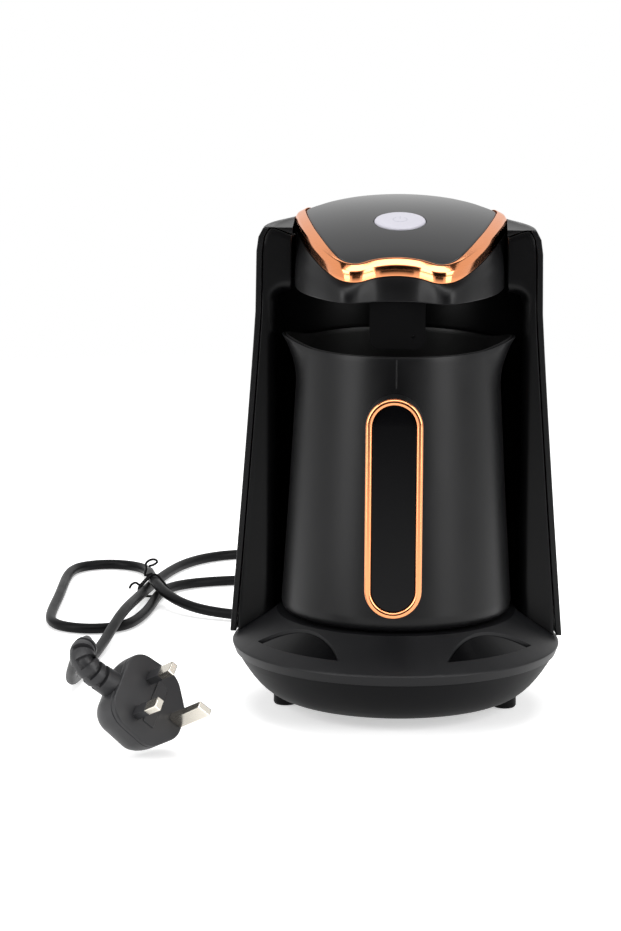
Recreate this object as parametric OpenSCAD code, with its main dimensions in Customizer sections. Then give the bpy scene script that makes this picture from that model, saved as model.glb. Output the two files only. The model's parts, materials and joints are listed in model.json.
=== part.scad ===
/* [Base] */
// Radius of the deck's edge
base_r = 85; // [80:1:95]
// Height of the deck's edge above the table
deck_edge_z = 34; // [31:0.5:37]
// Radius of the raised seat that the pot stands on
seat_r = 62; // [60:1:66]
// Height of the seat above the table
seat_z = 49.5; // [46:0.5:54]
// Thickness of the deck
deck_t = 2.6; // [2:0.2:3.4]
// Height of the parting line between deck and tub
part_z = 28.3; // [26:0.1:30]
// Radius of the tub's flat bottom
tub_bottom_r = 57; // [52:1:60]
// Height of the tub's bottom above the table
tub_bottom_z = 5.5; // [4:0.5:7]
// Wall thickness of the tub
tub_t = 2.4; // [1.8:0.2:3]
// Radius of a foot
foot_r = 6.2; // [5:0.2:7]
// Distance of the feet from the machine's axis
foot_circle_r = 57.5; // [54:0.5:60]
// Depth of the half-moon dishes below the deck
dish_depth = 1.6; // [1:0.2:2]
// Thickness of the glossy inlays in the dishes
inlay_t = 1.2; // [0.8:0.2:1.8]

/* [Housing] */
// Radius of the housing at its top
house_top_r = 74; // [72:0.5:78]
// How much wider the housing is at the deck
house_flare = 12.6; // [6:0.2:15]
// Height at which the flare begins
flare_top_z = 205; // [190:5:225]
// Thickness of the side panels and rear cover
panel_t = 3; // [2:0.2:4]
// Half of the angle that the rear cover spans
rear_half_angle = 32; // [24:1:40]
// Inner radius of the cavity round the pot
cavity_r = 63.8; // [62.5:0.2:65]
// Wall thickness of the front shell
shell_t = 2.4; // [1.8:0.2:3]
// Height at which panels and shoulder cap meet
shoulder_z = 248.2; // [240:0.2:249]
// Thickness of the shoulder cap
cap_t = 2.4; // [1.8:0.2:3]

/* [Head] */
// Height of the head's lower edge
head_z = 218.3; // [214:0.5:224]
// Height of the lid's crest
crest_z = 259.5; // [256:0.5:264]
// Distance of the crest behind the machine's axis
crest_y = 64; // [58:1:68]
// Radius of the lid's crown
crown_r = 310; // [290:5:340]
// Height of the copper trim
trim_h = 8; // [6:0.5:9]
// Width of the copper trim
trim_w = 3.4; // [2.6:0.2:4.2]
// Width and height of the trim's bevel
trim_bevel = 2.4; // [1.2:0.2:2.6]
// Thickness of the lid
lid_t = 2.4; // [1.8:0.2:3]
// Wall thickness of the head
head_t = 2.4; // [1.8:0.2:3]
// Width of the foam sensor's housing
sensor_w = 28; // [24:1:32]
// Height of the foam sensor's lower end
sensor_z = 193.6; // [193:0.2:198]

/* [Button] */
// Diameter of the button
button_d = 26.4; // [22:0.2:30]
// Gap round the button
button_gap = 0.4; // [0.3:0.05:0.6]
// How far the button stands above the lid
button_proud = 0.8; // [0.4:0.1:1.4]
// Travel of the button
button_travel = 0.8; // [0.5:0.1:1]

/* [Pot] */
// Radius of the pot at its foot
pot_foot_r = 59.6; // [57:0.2:61]
// Radius of the pot at its rim
pot_rim_r = 51.6; // [49:0.2:54]
// Height of the rim above the table
rim_z = 190.6; // [187:0.2:191]
// How far the pouring lips stand out
lip_out = 8.4; // [6:0.2:9]
// How far the pouring lips rise
lip_rise = 3.8; // [2:0.2:4.6]
// Thickness of the pot's outer wall
pot_t = 1.6; // [1.2:0.1:2]
// Thickness of the steel liner
liner_t = 0.8; // [0.6:0.1:1]
// Height of the liner's floor above the table
liner_floor_z = 74; // [72:1:84]
// Gap between the pot and its seat
seat_gap = 0.2; // [0.1:0.05:0.3]

/* [Handle] */
// Width of the handle
handle_w = 28.6; // [26:0.2:31]
// Height of the handle's upper end
handle_top_z = 177; // [172:1:182]
// Height of the handle's lower end
handle_bottom_z = 65.6; // [64:0.4:74]
// Distance of the handle's face from the axis
handle_face_y = 93; // [90:0.5:97]
// Depth of the handle's bar
handle_depth = 14; // [12:0.5:17]
// Width of the copper ring's tube
ring_w = 3.4; // [2.8:0.2:4]
// How far the copper ring stands proud
ring_proud = 1.2; // [0.8:0.1:1.6]

/* [Mains lead] */
// Diameter of the mains lead
cord_d = 5.8; // [5.2:0.1:6.2]
// Height of the gland above the table
gland_z = 17; // [16:0.5:19]
// Length of the gland's tapered boot
boot_l = 26; // [20:1:32]

/* [Hidden] */
$fn = 96;

// The machine's axis lies this far behind the origin, which is the middle of the box on the table
housing_back = house_top_r + house_flare;
axis_y = (handle_face_y + ring_proud - housing_back) / 2;
CLEAR = 0.3;
head_side_x = house_top_r - 18.7; // inner edge of each wing, beside the head
wing_y = 2;                      // front plane of the wings, behind the axis
// Height of the deck's surface at a distance from the axis, lowered by drop
deck_slope = (seat_z - deck_edge_z) / (base_r - seat_r);
function deck_z(r, drop = 0) = seat_z - (max(r, seat_r) - seat_r) * deck_slope - drop;
foot_clear = 0.6;                // gap between the deck and the panels' lower end
flare_foot_z = max(deck_edge_z, deck_z(housing_back - panel_t)) + foot_clear;
cavity_top_z = head_z;

// ---------- helpers ----------
module at_axis() { translate([0, axis_y, 0]) children(); }

function mirrored(pts) = concat(pts, [for (i = [len(pts) - 1:-1:0]) if (pts[i][0] > 0.001) [-pts[i][0], pts[i][1]]]);

// A point of the closed smooth curve through the control points
function smooth_at(c, s) =
    let (n = len(c), i = floor(s), f = s - i,
         a = c[(i + n - 1) % n], b = c[i % n], d = c[(i + 1) % n], e = c[(i + 2) % n])
    0.5 * ((2 * b) + (d - a) * f + (2 * a - 5 * b + 4 * d - e) * f * f
           + (3 * b - a - 3 * d + e) * f * f * f);

function smooth_loop(c, steps) = [for (k = [0:len(c) * steps - 1]) smooth_at(c, k / steps)];

// Solid ring: each row is a closed section, and the rows close on each other
module ring_solid(rows) {
    n = len(rows);
    m = len(rows[0]);
    polyhedron(
        points = [for (r = rows) for (p = r) p],
        faces = [for (i = [0:n - 1]) for (j = [0:m - 1])
            let (i2 = (i + 1) % n, j2 = (j + 1) % m)
            for (t = [[i * m + j, i2 * m + j, i2 * m + j2], [i * m + j, i2 * m + j2, i * m + j2]]) t],
        convexity = 6);
}

// Solid bar: each row is a closed section, with flat ends
module bar_solid(rows) {
    n = len(rows);
    m = len(rows[0]);
    polyhedron(
        points = [for (r = rows) for (p = r) p],
        faces = concat(
            [for (i = [0:n - 2]) for (j = [0:m - 1])
                let (j2 = (j + 1) % m)
                for (t = [[i * m + j, (i + 1) * m + j, (i + 1) * m + j2], [i * m + j, (i + 1) * m + j2, i * m + j2]]) t],
            [[for (j = [0:m - 1]) j]],
            [[for (j = [m - 1:-1:0]) (n - 1) * m + j]]),
        convexity = 6);
}

// Round tube along a list of points
function unit(v) = v / norm(v);
function heading(p, i) = unit(p[min(i + 1, len(p) - 1)] - p[max(i - 1, 0)]);
module round_tube(path, d, sides) {
    bar_solid([for (i = [0:len(path) - 1])
        let (t = heading(path, i),
             u = unit(cross(t, abs(t[2]) > 0.8 ? [1, 0, 0] : [0, 0, 1])),
             v = cross(t, u))
        [for (k = [0:sides - 1]) path[i] + (u * cos(360 * k / sides) + v * sin(360 * k / sides)) * d / 2]]);
}

// Smooth open path through hand-chosen points
function open_path(c, steps) =
    let (n = len(c))
    concat([for (i = [0:n - 2]) for (k = [0:steps - 1])
        let (f = k / steps, a = c[max(i - 1, 0)], b = c[i], d = c[i + 1], e = c[min(i + 2, n - 1)])
        0.5 * ((2 * b) + (d - a) * f + (2 * a - 5 * b + 4 * d - e) * f * f
               + (3 * b - a - 3 * d + e) * f * f * f)],
        [c[n - 1]]);

module slot_shape(w, h) {
    // upright racetrack of width w and height h, centred
    translate([0, (h - w) / 2]) circle(d = w);
    translate([0, -(h - w) / 2]) circle(d = w);
    square([w, h - w], center = true);
}

// ---------- base ----------
tub_top_r = base_r - 2.5;
tub_h = part_z - tub_bottom_z;
function tub_outer(s) = [tub_bottom_r + (tub_top_r - tub_bottom_r) * s, tub_bottom_z + tub_h * s * s];
TUB_STEPS = 10;

// Bowl: a parabola from the flat bottom up to the parting line
module tub_solid() {
    rotate_extrude() polygon(concat(
        [[0, tub_bottom_z]], [for (i = [0:TUB_STEPS]) tub_outer(i / TUB_STEPS)], [[0, part_z]]));
}

gland_boss_r = 8.6;
gland_bore_r = 6.2;
gland_in_y = 62;
gland_out_y = 80;
SCREW_POSTS = [[42, -30], [-42, -30], [40, 44], [-40, 44]];
POWER_POSTS = [[32, 6], [-32, 6], [32, 38], [-32, 38]];
screw_post_r = 4;
screw_r = 1.5;
board_z = 15;

module base_tub() {
    color([0.09, 0.09, 0.09]) at_axis() difference() {
        union() {
            difference() {
                tub_solid();
                difference() {
                    rotate_extrude() polygon(concat(
                        [[0, tub_bottom_z + tub_t]],
                        [for (i = [0:TUB_STEPS])
                            let (p = tub_outer(i / TUB_STEPS))
                            [p[0] - tub_t, p[1] + tub_t]],
                        [[0, part_z + tub_t]]));
                    // screw posts, board posts and the gland's boss stay
                    for (p = SCREW_POSTS) translate([p[0], p[1], 0]) cylinder(r = screw_post_r, h = part_z);
                    for (p = POWER_POSTS) translate([p[0], p[1], 0]) cylinder(r = 3, h = board_z);
                    translate([0, gland_in_y, gland_z]) rotate([-90, 0, 0])
                        cylinder(r = gland_boss_r, h = gland_out_y - gland_in_y);
                }
            }
            intersection() {
                translate([0, gland_in_y, gland_z]) rotate([-90, 0, 0])
                    cylinder(r = gland_boss_r, h = gland_out_y - gland_in_y);
                translate([-20, 0, tub_bottom_z]) cube([40, 100, part_z - tub_bottom_z]);
            }
        }
        translate([0, gland_in_y - 1, gland_z]) rotate([-90, 0, 0])
            cylinder(r = gland_bore_r, h = gland_out_y - gland_in_y + 2);
        for (p = SCREW_POSTS) translate([p[0], p[1], tub_bottom_z - 1]) {
            cylinder(r = screw_r + 0.2, h = part_z);
            cylinder(r = 3.2, h = 4.2);
        }
        for (p = POWER_POSTS) translate([p[0], p[1], board_z - 6]) cylinder(r = 1, h = 8);
    }
}

// Solid of everything under the deck's surface lowered by drop
module under_deck(drop = 0, r = base_r) {
    rotate_extrude() polygon([
        [0, 0], [r, 0], [r, deck_z(r, drop)], [seat_r, seat_z - drop], [0, seat_z - drop]]);
}

// Half-moon outline in plan: inside the deck's outer circle and inside a second circle
moon_outer_r = base_r - 7.3;
moon_r = 56;
moon_at = [base_r - 3.8, -base_r - 3];
module moon(grow = 0) {
    intersection() {
        circle(r = moon_outer_r + grow);
        translate(moon_at) circle(r = moon_r + grow);
    }
}

module both_sides() {
    children();
    mirror([1, 0, 0]) children();
}

ribbon_x = -25;
ribbon_y = 69;
module base_deck() {
    color([0.13, 0.13, 0.14]) at_axis() difference() {
        union() {
            rotate_extrude() polygon([
                [0, seat_z - deck_t], [seat_r - 0.8, seat_z - deck_t],
                [base_r - deck_t - 1.4, deck_edge_z - deck_t + 1], [tub_top_r - deck_t + 0.6, part_z + CLEAR],
                [tub_top_r + 0.9, part_z + CLEAR], [base_r - 0.2, deck_edge_z - 1.6], [base_r, deck_edge_z - 0.9],
                [base_r - 0.7, deck_edge_z + 0.4], [seat_r, seat_z], [0, seat_z]]);
            // thicker floor under each half-moon dish
            both_sides() intersection() {
                translate([0, 0, 20]) linear_extrude(40) moon(2);
                difference() {
                    under_deck(0.5, base_r - 2);
                    under_deck(dish_depth + inlay_t + 2.2, base_r);
                }
            }
            // bosses for the screws that hold the tub
            for (p = SCREW_POSTS) translate([p[0], p[1], part_z + CLEAR])
                cylinder(r = screw_post_r, h = seat_z - deck_t - part_z);
        }
        both_sides() intersection() {
            translate([0, 0, 20]) linear_extrude(60) moon();
            difference() {
                translate([0, 0, 20]) cylinder(r = base_r, h = 60);
                under_deck(dish_depth + inlay_t);
            }
        }
        for (p = SCREW_POSTS) translate([p[0], p[1], part_z - 1]) cylinder(r = screw_r, h = 12);
        // passages for the wires at the back
        translate([-12, 66.6, 20]) cube([24, 8.4, 40]);
        translate([ribbon_x, ribbon_y, 20]) cylinder(r = 2.2, h = 40);
    }
}

module inlay() {
    intersection() {
        translate([0, 0, 20]) linear_extrude(40) moon(-0.15);
        difference() {
            under_deck(dish_depth);
            under_deck(dish_depth + inlay_t);
        }
    }
}
module deck_inlay_left() { color([0.05, 0.05, 0.06]) at_axis() mirror([1, 0, 0]) inlay(); }
module deck_inlay_right() { color([0.05, 0.05, 0.06]) at_axis() inlay(); }

FOOT_ANGLES = [-8, 188, 48, 132];
module feet() {
    color([0.06, 0.06, 0.06]) at_axis() difference() {
        for (a = FOOT_ANGLES) rotate([0, 0, a]) translate([foot_circle_r, 0, 0]) {
            cylinder(r1 = foot_r - 0.6, r2 = foot_r, h = 1.2);
            translate([0, 0, 1.2]) cylinder(r = foot_r, h = 8);
        }
        tub_solid();
    }
}

module base_screws() {
    color("silver") at_axis() for (p = SCREW_POSTS) translate([p[0], p[1], 0]) {
        translate([0, 0, tub_bottom_z + 1.2]) cylinder(r = 2.8, h = 2);
        translate([0, 0, tub_bottom_z + 3.2]) cylinder(r = screw_r, h = part_z - tub_bottom_z + 4);
    }
}

// ---------- housing ----------
function house_r(z) = z > flare_top_z ? house_top_r
    : house_top_r + house_flare * pow((flare_top_z - z) / (flare_top_z - flare_foot_z), 1.08);
HOUSE_STEPS = 9;
function house_line(z0, inset) = concat(
    [for (i = [0:HOUSE_STEPS])
        let (z = z0 + (flare_top_z - z0) * i / HOUSE_STEPS) [house_r(z) - inset, z]],
    [[house_top_r - 0.4 - inset, shoulder_z - 12], [house_top_r - 1.4 - inset, shoulder_z - 4.7],
     [house_top_r - 3.8 - inset, shoulder_z]]);

module panel_profile() {
    outer = house_line(flare_foot_z, 0);
    inner = house_line(flare_foot_z, panel_t);
    polygon(concat(outer, [for (i = [len(inner) - 1:-1:0]) inner[i]]));
}

// Upper edge of the wing fronts: level outside, falling towards the head
dip_z = 3.2;
dip_x = house_top_r - 9.5;
function wing_top(floor_z, up) = [
    [-100, floor_z], [100, floor_z], [100, shoulder_z + up], [dip_x, shoulder_z + up],
    [head_side_x, shoulder_z - dip_z + up], [-head_side_x, shoulder_z - dip_z + up],
    [-dip_x, shoulder_z + up], [-100, shoulder_z + up]];

panel_start = asin((wing_y - 0.4) / house_top_r);
module side_panel() {
    difference() {
        rotate([0, 0, panel_start]) rotate_extrude(angle = 90 - rear_half_angle - panel_start)
            panel_profile();
        // the lower front corner is rounded off
        translate([0, wing_y - 1, flare_foot_z - 1]) rotate([0, 90, 0]) difference() {
            translate([-5, -1, 0]) cube([7, 6, 120]);
            translate([-5, 5, 0]) cylinder(r = 5, h = 120);
        }
    }
}
module side_panel_right() { color([0.1, 0.1, 0.1]) at_axis() side_panel(); }
module side_panel_left() { color([0.1, 0.1, 0.1]) at_axis() mirror([1, 0, 0]) side_panel(); }

SEAM = 0.3;
module rear_cover() {
    color([0.1, 0.1, 0.1]) at_axis() difference() {
        rotate([0, 0, 90 - rear_half_angle + SEAM])
            rotate_extrude(angle = 2 * (rear_half_angle - SEAM)) panel_profile();
        // cooling slots
        for (i = [-4:4]) translate([i * 6 - 1.2, 60, 190]) cube([2.4, 40, 26]);
    }
}

// Everything inside the panels, up to the shoulder
module inner_house(gap) {
    rotate_extrude() polygon(concat(
        [[0, 20]],
        [for (p = house_line(flare_foot_z - 4, panel_t + gap)) p],
        [[0, shoulder_z]]));
}

chamfer_x = house_top_r - 4.5;
chamfer_y = 8;
corner_r = 9;
jaw_angle = asin(chamfer_y / cavity_r);
// Chamfer that joins the cavity's wall to a wing; its ends run into both
jaw_end = jaw_angle + 2;
function on_wall(r, a) = [(cavity_r + r) * cos(a), (cavity_r + r) * sin(a)];
module jaw_plan() {
    polygon([
        [chamfer_x, wing_y], [chamfer_x + 3, wing_y], [chamfer_x + 3, wing_y + shell_t],
        [chamfer_x + 1, wing_y + shell_t], on_wall(shell_t - 0.4, jaw_end), on_wall(0.6, jaw_end),
        on_wall(0.15, jaw_angle + 0.3)]);
}
// Front opening: the cavity with its rounded upper corners, and the gap for the head above it
opening_x = chamfer_x + 1;
OPENING_HALF = concat(
    [[opening_x, 0]],
    [for (a = [0:15:90]) [opening_x - corner_r + corner_r * cos(a), cavity_top_z - corner_r + corner_r * sin(a)]],
    [[head_side_x, cavity_top_z], [head_side_x, 300]]);

module front_shell() {
    wall_h = cavity_top_z - 20 - CLEAR;
    color([0.08, 0.08, 0.08]) at_axis() difference() {
        intersection() {
            union() {
                rotate([0, 0, jaw_angle]) rotate_extrude(angle = 180 - 2 * jaw_angle)
                    translate([cavity_r, 20]) square([shell_t, wall_h]);
                both_sides() translate([0, 0, 20]) linear_extrude(wall_h) jaw_plan();
                // wing fronts
                translate([0, wing_y + shell_t, 0]) rotate([90, 0, 0]) linear_extrude(shell_t) difference() {
                    polygon(wing_top(20, 0));
                    polygon(mirrored(OPENING_HALF));
                }
            }
            inner_house(CLEAR);
        }
        under_deck(-CLEAR);
        // opening for the pot's socket
        translate([-socket_w / 2 - 0.3, 50, socket_z - socket_h / 2 - 0.3])
            cube([socket_w + 0.6, 40, socket_h + 0.6]);
    }
}

// Solid under the rounded shoulder, which falls towards the front, lowered and narrowed by inset
shoulder_slope = 11.3;
module shoulder_mass(inset) {
    difference() {
        rotate_extrude() polygon([
            [0, shoulder_z - 8], [house_top_r - 3.3 - inset, shoulder_z - 8],
            [house_top_r - 3.9 - inset, shoulder_z + 0.2], [house_top_r - 5.4 - inset, shoulder_z + 1.4 - inset / 2],
            [house_top_r - 8.5 - inset, shoulder_z + 3.8 - inset], [house_top_r - 12.5 - inset, shoulder_z + 5.8 - inset],
            [house_top_r - 17 - inset, shoulder_z + 7.3 - inset], [house_top_r - 24, shoulder_z + 9 - inset], [0, shoulder_z + 10 - inset]]);
        translate([0, wing_y, shoulder_z + 0.2 - inset]) rotate([shoulder_slope, 0, 0])
            translate([-100, -100, 0]) cube([200, 300, 60]);
    }
}
module shoulder_cap() {
    color([0.11, 0.11, 0.11]) at_axis() difference() {
        union() {
            // domed ring behind the wings
            difference() {
                shoulder_mass(0);
                shoulder_mass(cap_t);
                translate([-100, -200 + wing_y + shell_t - 0.5, 200]) cube([200, 200, 100]);
                translate([-100, -100, shoulder_z - 20]) cube([200, 200, 20 + CLEAR]);
            }
            // its front faces, above the wings
            intersection() {
                shoulder_mass(0);
                translate([0, wing_y + shell_t, 0]) rotate([90, 0, 0]) linear_extrude(shell_t) difference() {
                    translate([-100, 230]) square([200, 40]);
                    polygon(wing_top(220, CLEAR));
                }
            }
        }
        translate([0, 0, 200]) linear_extrude(100) polygon(grown(TOP_LOOP, CLEAR));
    }
}

// ---------- head ----------
function crown_z(p, drop = 0) = crest_z - drop
    - (crown_r - sqrt(crown_r * crown_r - p[0] * p[0] - (p[1] - crest_y) * (p[1] - crest_y)));

// The head's outlines are drawn for a wing edge at 55.3 and follow it
head_scale = head_side_x / 55.3;
// Plan of the trim's outer edge, from the notch in the middle of the front round to the back
TOP_HALF = [for (p = [
    [0, -46.4], [10, -47.8], [19.5, -51.6], [26.5, -50], [32, -45], [37.4, -36], [43, -23],
    [48, -7], [51.6, 9], [54.2, 25], [54.3, 36.8], [45.8, 47.3], [35, 55.2], [19, 62.8]]) p * head_scale];
// Plan of the head's lower edge
LOW_HALF = [for (p = [
    [0, -47.6], [10, -48.8], [20, -54.2], [26.5, -55], [32.5, -50.5], [38.5, -43], [45.5, -31],
    [51, -16], [53.8, 3], [54.4, 24], [54.3, 36.8], [45.8, 47.3], [35, 55.2], [19, 62.8]]) p * head_scale];
LOOP_STEPS = 4;
function whole(half) = concat(half, [[0, 66 * head_scale]],
    [for (i = [len(half) - 1:-1:1]) [-half[i][0], half[i][1]]]);
TOP_LOOP = smooth_loop(whole(TOP_HALF), LOOP_STEPS);
LOW_LOOP = smooth_loop(whole(LOW_HALF), LOOP_STEPS);

// Outline moved outward by d, along each point's own normal
function normal_at(loop, i) =
    let (n = len(loop), t = unit(loop[(i + 1) % n] - loop[(i + n - 1) % n])) [t[1], -t[0]];
function grown(loop, d) = [for (i = [0:len(loop) - 1]) loop[i] + normal_at(loop, i) * d];

trim_gap = 0.3;
WALL_LEVELS = [0, 0.35, 0.6, 0.78, 0.9, 1];
// Head wall: one section of the wall for each point of the outline
module head_shell() {
    color([0.1, 0.1, 0.1]) at_axis() difference() {
        ring_solid([for (i = [0:len(LOW_LOOP) - 1])
            let (low = LOW_LOOP[i], top = TOP_LOOP[i],
                 low_in = grown(LOW_LOOP, -head_t)[i], top_in = grown(TOP_LOOP, -head_t)[i],
                 z1 = crown_z(top, trim_h + trim_gap))
            concat(
                [for (u = WALL_LEVELS)
                    let (p = low + (top - low) * u * u * u) [p[0], p[1], head_z + (z1 - head_z) * u]],
                [for (k = [len(WALL_LEVELS) - 1:-1:0])
                    let (u = WALL_LEVELS[k], p = low_in + (top_in - low_in) * u * u * u)
                    [p[0], p[1], head_z + (z1 - head_z) * u]])]);
        // way out for the wires, behind
        translate([-12, 56, head_z + 4]) cube([24, 20, 8]);
    }
}

head_base_t = 2.4;
sensor_front_y = -44.4 * head_scale;
sensor_depth = 9;
module head_base() {
    color([0.06, 0.06, 0.06]) at_axis() difference() {
        translate([0, 0, head_z]) linear_extrude(head_base_t) polygon(grown(LOW_LOOP, -head_t - CLEAR));
        translate([-sensor_w / 2 - 0.2, sensor_front_y - 0.2, head_z - 1])
            cube([sensor_w + 0.4, sensor_depth + 0.4, 10]);
    }
}

// Copper trim: open at the back, from one end round the front to the other
TRIM_LAST = 10;
module head_trim() {
    n = len(TOP_LOOP);
    last = TRIM_LAST * LOOP_STEPS;
    color([0.85, 0.48, 0.3]) at_axis() bar_solid([for (k = [-last:last])
        let (i = (k + n) % n, o = TOP_LOOP[i], v = normal_at(TOP_LOOP, i),
             mid = o - v * trim_bevel, inn = o - v * trim_w,
             ease = min(1, (last - abs(k)) / LOOP_STEPS),
             h = trim_h * (0.35 + 0.65 * ease))
        [[o[0], o[1], crown_z(o, trim_h)], [o[0], o[1], crown_z(o, trim_h - h + trim_bevel)],
         [mid[0], mid[1], crown_z(mid, trim_h - h)], [inn[0], inn[1], crown_z(inn, trim_h - h)],
         [inn[0], inn[1], crown_z(inn, trim_h)]]]);
}

lid_gap = 0.4;
lid_drop = 0.6;
LID_LOOP = grown(TOP_LOOP, -trim_w - lid_gap);
button_y = 2;
lid_slope = asin((crest_y - button_y) / crown_r);
button_at = [0, button_y, crown_z([0, button_y], lid_drop)];
module button_frame() { translate(button_at) rotate([lid_slope, 0, 0]) children(); }

board_drop = 17;
board_t = 1.6;
BOARD_POSTS = [[26, -16], [-26, -16], [26, 20], [-26, 20]];
module crown_ball(drop) { translate([0, crest_y, crest_z - crown_r - drop]) sphere(r = crown_r, $fn = 180); }

skirt_h = 5;
module lid_panel() {
    color([0.04, 0.04, 0.045]) at_axis() difference() {
        union() {
            intersection() {
                translate([0, 0, 200]) linear_extrude(80) polygon(LID_LOOP);
                difference() { crown_ball(lid_drop); crown_ball(lid_drop + lid_t); }
            }
            // downstand just inside the edge
            intersection() {
                translate([0, 0, 200]) linear_extrude(80) difference() {
                    polygon(LID_LOOP);
                    polygon(grown(LID_LOOP, -2));
                }
                difference() { crown_ball(lid_drop + 1); crown_ball(lid_drop + lid_t + skirt_h); }
            }
            // posts for the control board
            intersection() {
                button_frame() for (p = BOARD_POSTS) translate([p[0], p[1], -board_drop]) cylinder(r = 2.8, h = 30);
                crown_ball(lid_drop + 1);
            }
        }
        button_frame() {
            translate([0, 0, -12]) cylinder(r = button_d / 2 + button_gap, h = 24);
            for (p = BOARD_POSTS) translate([p[0], p[1], -board_drop - 1]) cylinder(r = 1, h = 8);
        }
    }
}

guide_r = button_d / 2 + button_gap;
guide_top = -lid_t - 0.5;
guide_bottom = -board_drop;
module button_guide() {
    color([0.75, 0.75, 0.78]) at_axis() button_frame() difference() {
        translate([0, 0, guide_bottom]) cylinder(r = guide_r + 1.6, h = guide_top - guide_bottom);
        translate([0, 0, guide_bottom - 1]) cylinder(r = guide_r, h = guide_top - guide_bottom + 2);
    }
}

plunger_top = -9.6;
stem_r = 2;
module button_cap() {
    color([0.86, 0.85, 0.89]) at_axis() button_frame() {
        difference() {
            union() {
                translate([0, 0, -6.4]) cylinder(r = button_d / 2, h = 6.4 + button_proud - 0.5);
                translate([0, 0, button_proud - 0.5]) cylinder(r1 = button_d / 2, r2 = button_d / 2 - 0.5, h = 0.5);
            }
            translate([0, 0, -7]) cylinder(r = button_d / 2 - 1.6, h = 5);
        }
        translate([0, 0, plunger_top + 0.05]) cylinder(r = stem_r, h = -2 - plunger_top);
    }
}

switch_h = 3.6;
switch_bore_r = 1.9;
plunger_r = 1.6;
module switch_plunger() {
    color([0.8, 0.25, 0.2]) at_axis() button_frame()
        translate([0, 0, -board_drop + 1.6]) cylinder(r = plunger_r, h = plunger_top + board_drop - 1.6);
}
module switch_body() {
    color([0.15, 0.15, 0.16]) at_axis() button_frame() difference() {
        translate([-3, -3, -board_drop]) cube([6, 6, switch_h]);
        translate([0, 0, -board_drop + 0.6]) cylinder(r = switch_bore_r, h = 10);
    }
}
module control_board() {
    color([0.1, 0.35, 0.2]) at_axis() button_frame() difference() {
        translate([-31, -21, -board_drop - board_t]) cube([62, 46, board_t]);
        for (p = BOARD_POSTS) translate([p[0], p[1], -board_drop - 5]) cylinder(r = 1.2, h = 10);
    }
}
module board_screws() {
    color("silver") at_axis() button_frame() for (p = BOARD_POSTS) translate([p[0], p[1], 0]) {
        translate([0, 0, -board_drop - board_t - 1.6]) cylinder(r = 2.2, h = 1.6);
        translate([0, 0, -board_drop - board_t]) cylinder(r = 1, h = 6);
    }
}
module button_leds() {
    color("white") at_axis() button_frame() for (a = [45:90:315])
        rotate([0, 0, a]) translate([8, -1.4, -board_drop]) cube([2.8, 2.8, 1.2]);
}
module buzzer() {
    color([0.05, 0.05, 0.05]) at_axis() button_frame() translate([22, 3, -board_drop]) difference() {
        cylinder(r = 5, h = 6);
        translate([0, 0, 3]) cylinder(r = 1, h = 5);
    }
}

// ---------- foam sensor ----------
module sensor_housing() {
    color([0.06, 0.06, 0.065]) at_axis() difference() {
        translate([0, sensor_front_y, 0]) {
            translate([0, sensor_depth, 0]) rotate([90, 0, 0]) linear_extrude(sensor_depth) {
                translate([-sensor_w / 2, sensor_z + 5]) square([sensor_w, head_z + 4 - sensor_z - 5]);
                translate([-sensor_w / 2 + 5, sensor_z]) square([sensor_w - 10, 6]);
                both_sides() translate([sensor_w / 2 - 5, sensor_z + 5]) circle(r = 5);
            }
            translate([-sensor_w / 2 - 2.4, -0.5, head_z + head_base_t]) cube([sensor_w + 4.8, sensor_depth + 2, 1.6]);
        }
        translate([-sensor_w / 2 + 2, sensor_front_y + 1.8, sensor_z + 2])
            cube([sensor_w - 4, sensor_depth - 3.6, head_z + 10 - sensor_z]);
        both_sides() translate([6, sensor_front_y + sensor_depth / 2, sensor_z - 1]) cylinder(r = 1.6, h = 5);
        translate([8, sensor_front_y - 1, sensor_z + 6.6]) rotate([-90, 0, 0]) cylinder(r = 0.9, h = 4);
    }
}
module foam_sensor() {
    color([0.3, 0.05, 0.08]) at_axis() {
        translate([-sensor_w / 2 + 2.4, sensor_front_y + 2.2, sensor_z + 2]) cube([sensor_w - 4.8, sensor_depth - 4.4, 12]);
        both_sides() translate([6, sensor_front_y + sensor_depth / 2, sensor_z + 0.6]) cylinder(r = 1.5, h = 1.6);
    }
}

// ---------- electrics in the base ----------
pcb_w = 70;
pcb_y0 = 0;
pcb_y1 = 44;
module power_board() {
    color([0.1, 0.35, 0.2]) at_axis() difference() {
        translate([-pcb_w / 2, pcb_y0, board_z]) cube([pcb_w, pcb_y1 - pcb_y0, board_t]);
        for (p = POWER_POSTS) translate([p[0], p[1], board_z - 1]) cylinder(r = 1, h = 4);
    }
}
module power_screws() {
    color("silver") at_axis() for (p = POWER_POSTS) translate([p[0], p[1], 0]) {
        translate([0, 0, board_z + board_t]) cylinder(r = 2.4, h = 1.6);
        translate([0, 0, board_z - 5]) cylinder(r = 1, h = 5 + board_t);
    }
}
parts_z = board_z + board_t;
module relay() { color([0.1, 0.2, 0.5]) at_axis() translate([-28, 12, parts_z]) cube([15, 19, 15]); }
module transformer() {
    color([0.8, 0.7, 0.2]) at_axis() {
        translate([-6, 12, parts_z]) cube([18, 17, 3]);
        translate([-3, 14, parts_z + 3]) cube([12, 13, 11]);
    }
}
module capacitor() { color([0.1, 0.1, 0.3]) at_axis() translate([22, 20, parts_z]) cylinder(r = 5, h = 14); }
module mains_fuse() {
    color([0.8, 0.75, 0.7]) at_axis() {
        translate([-10, 38, parts_z + 2.6]) rotate([0, 90, 0]) cylinder(r = 2.6, h = 20);
    }
}
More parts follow.
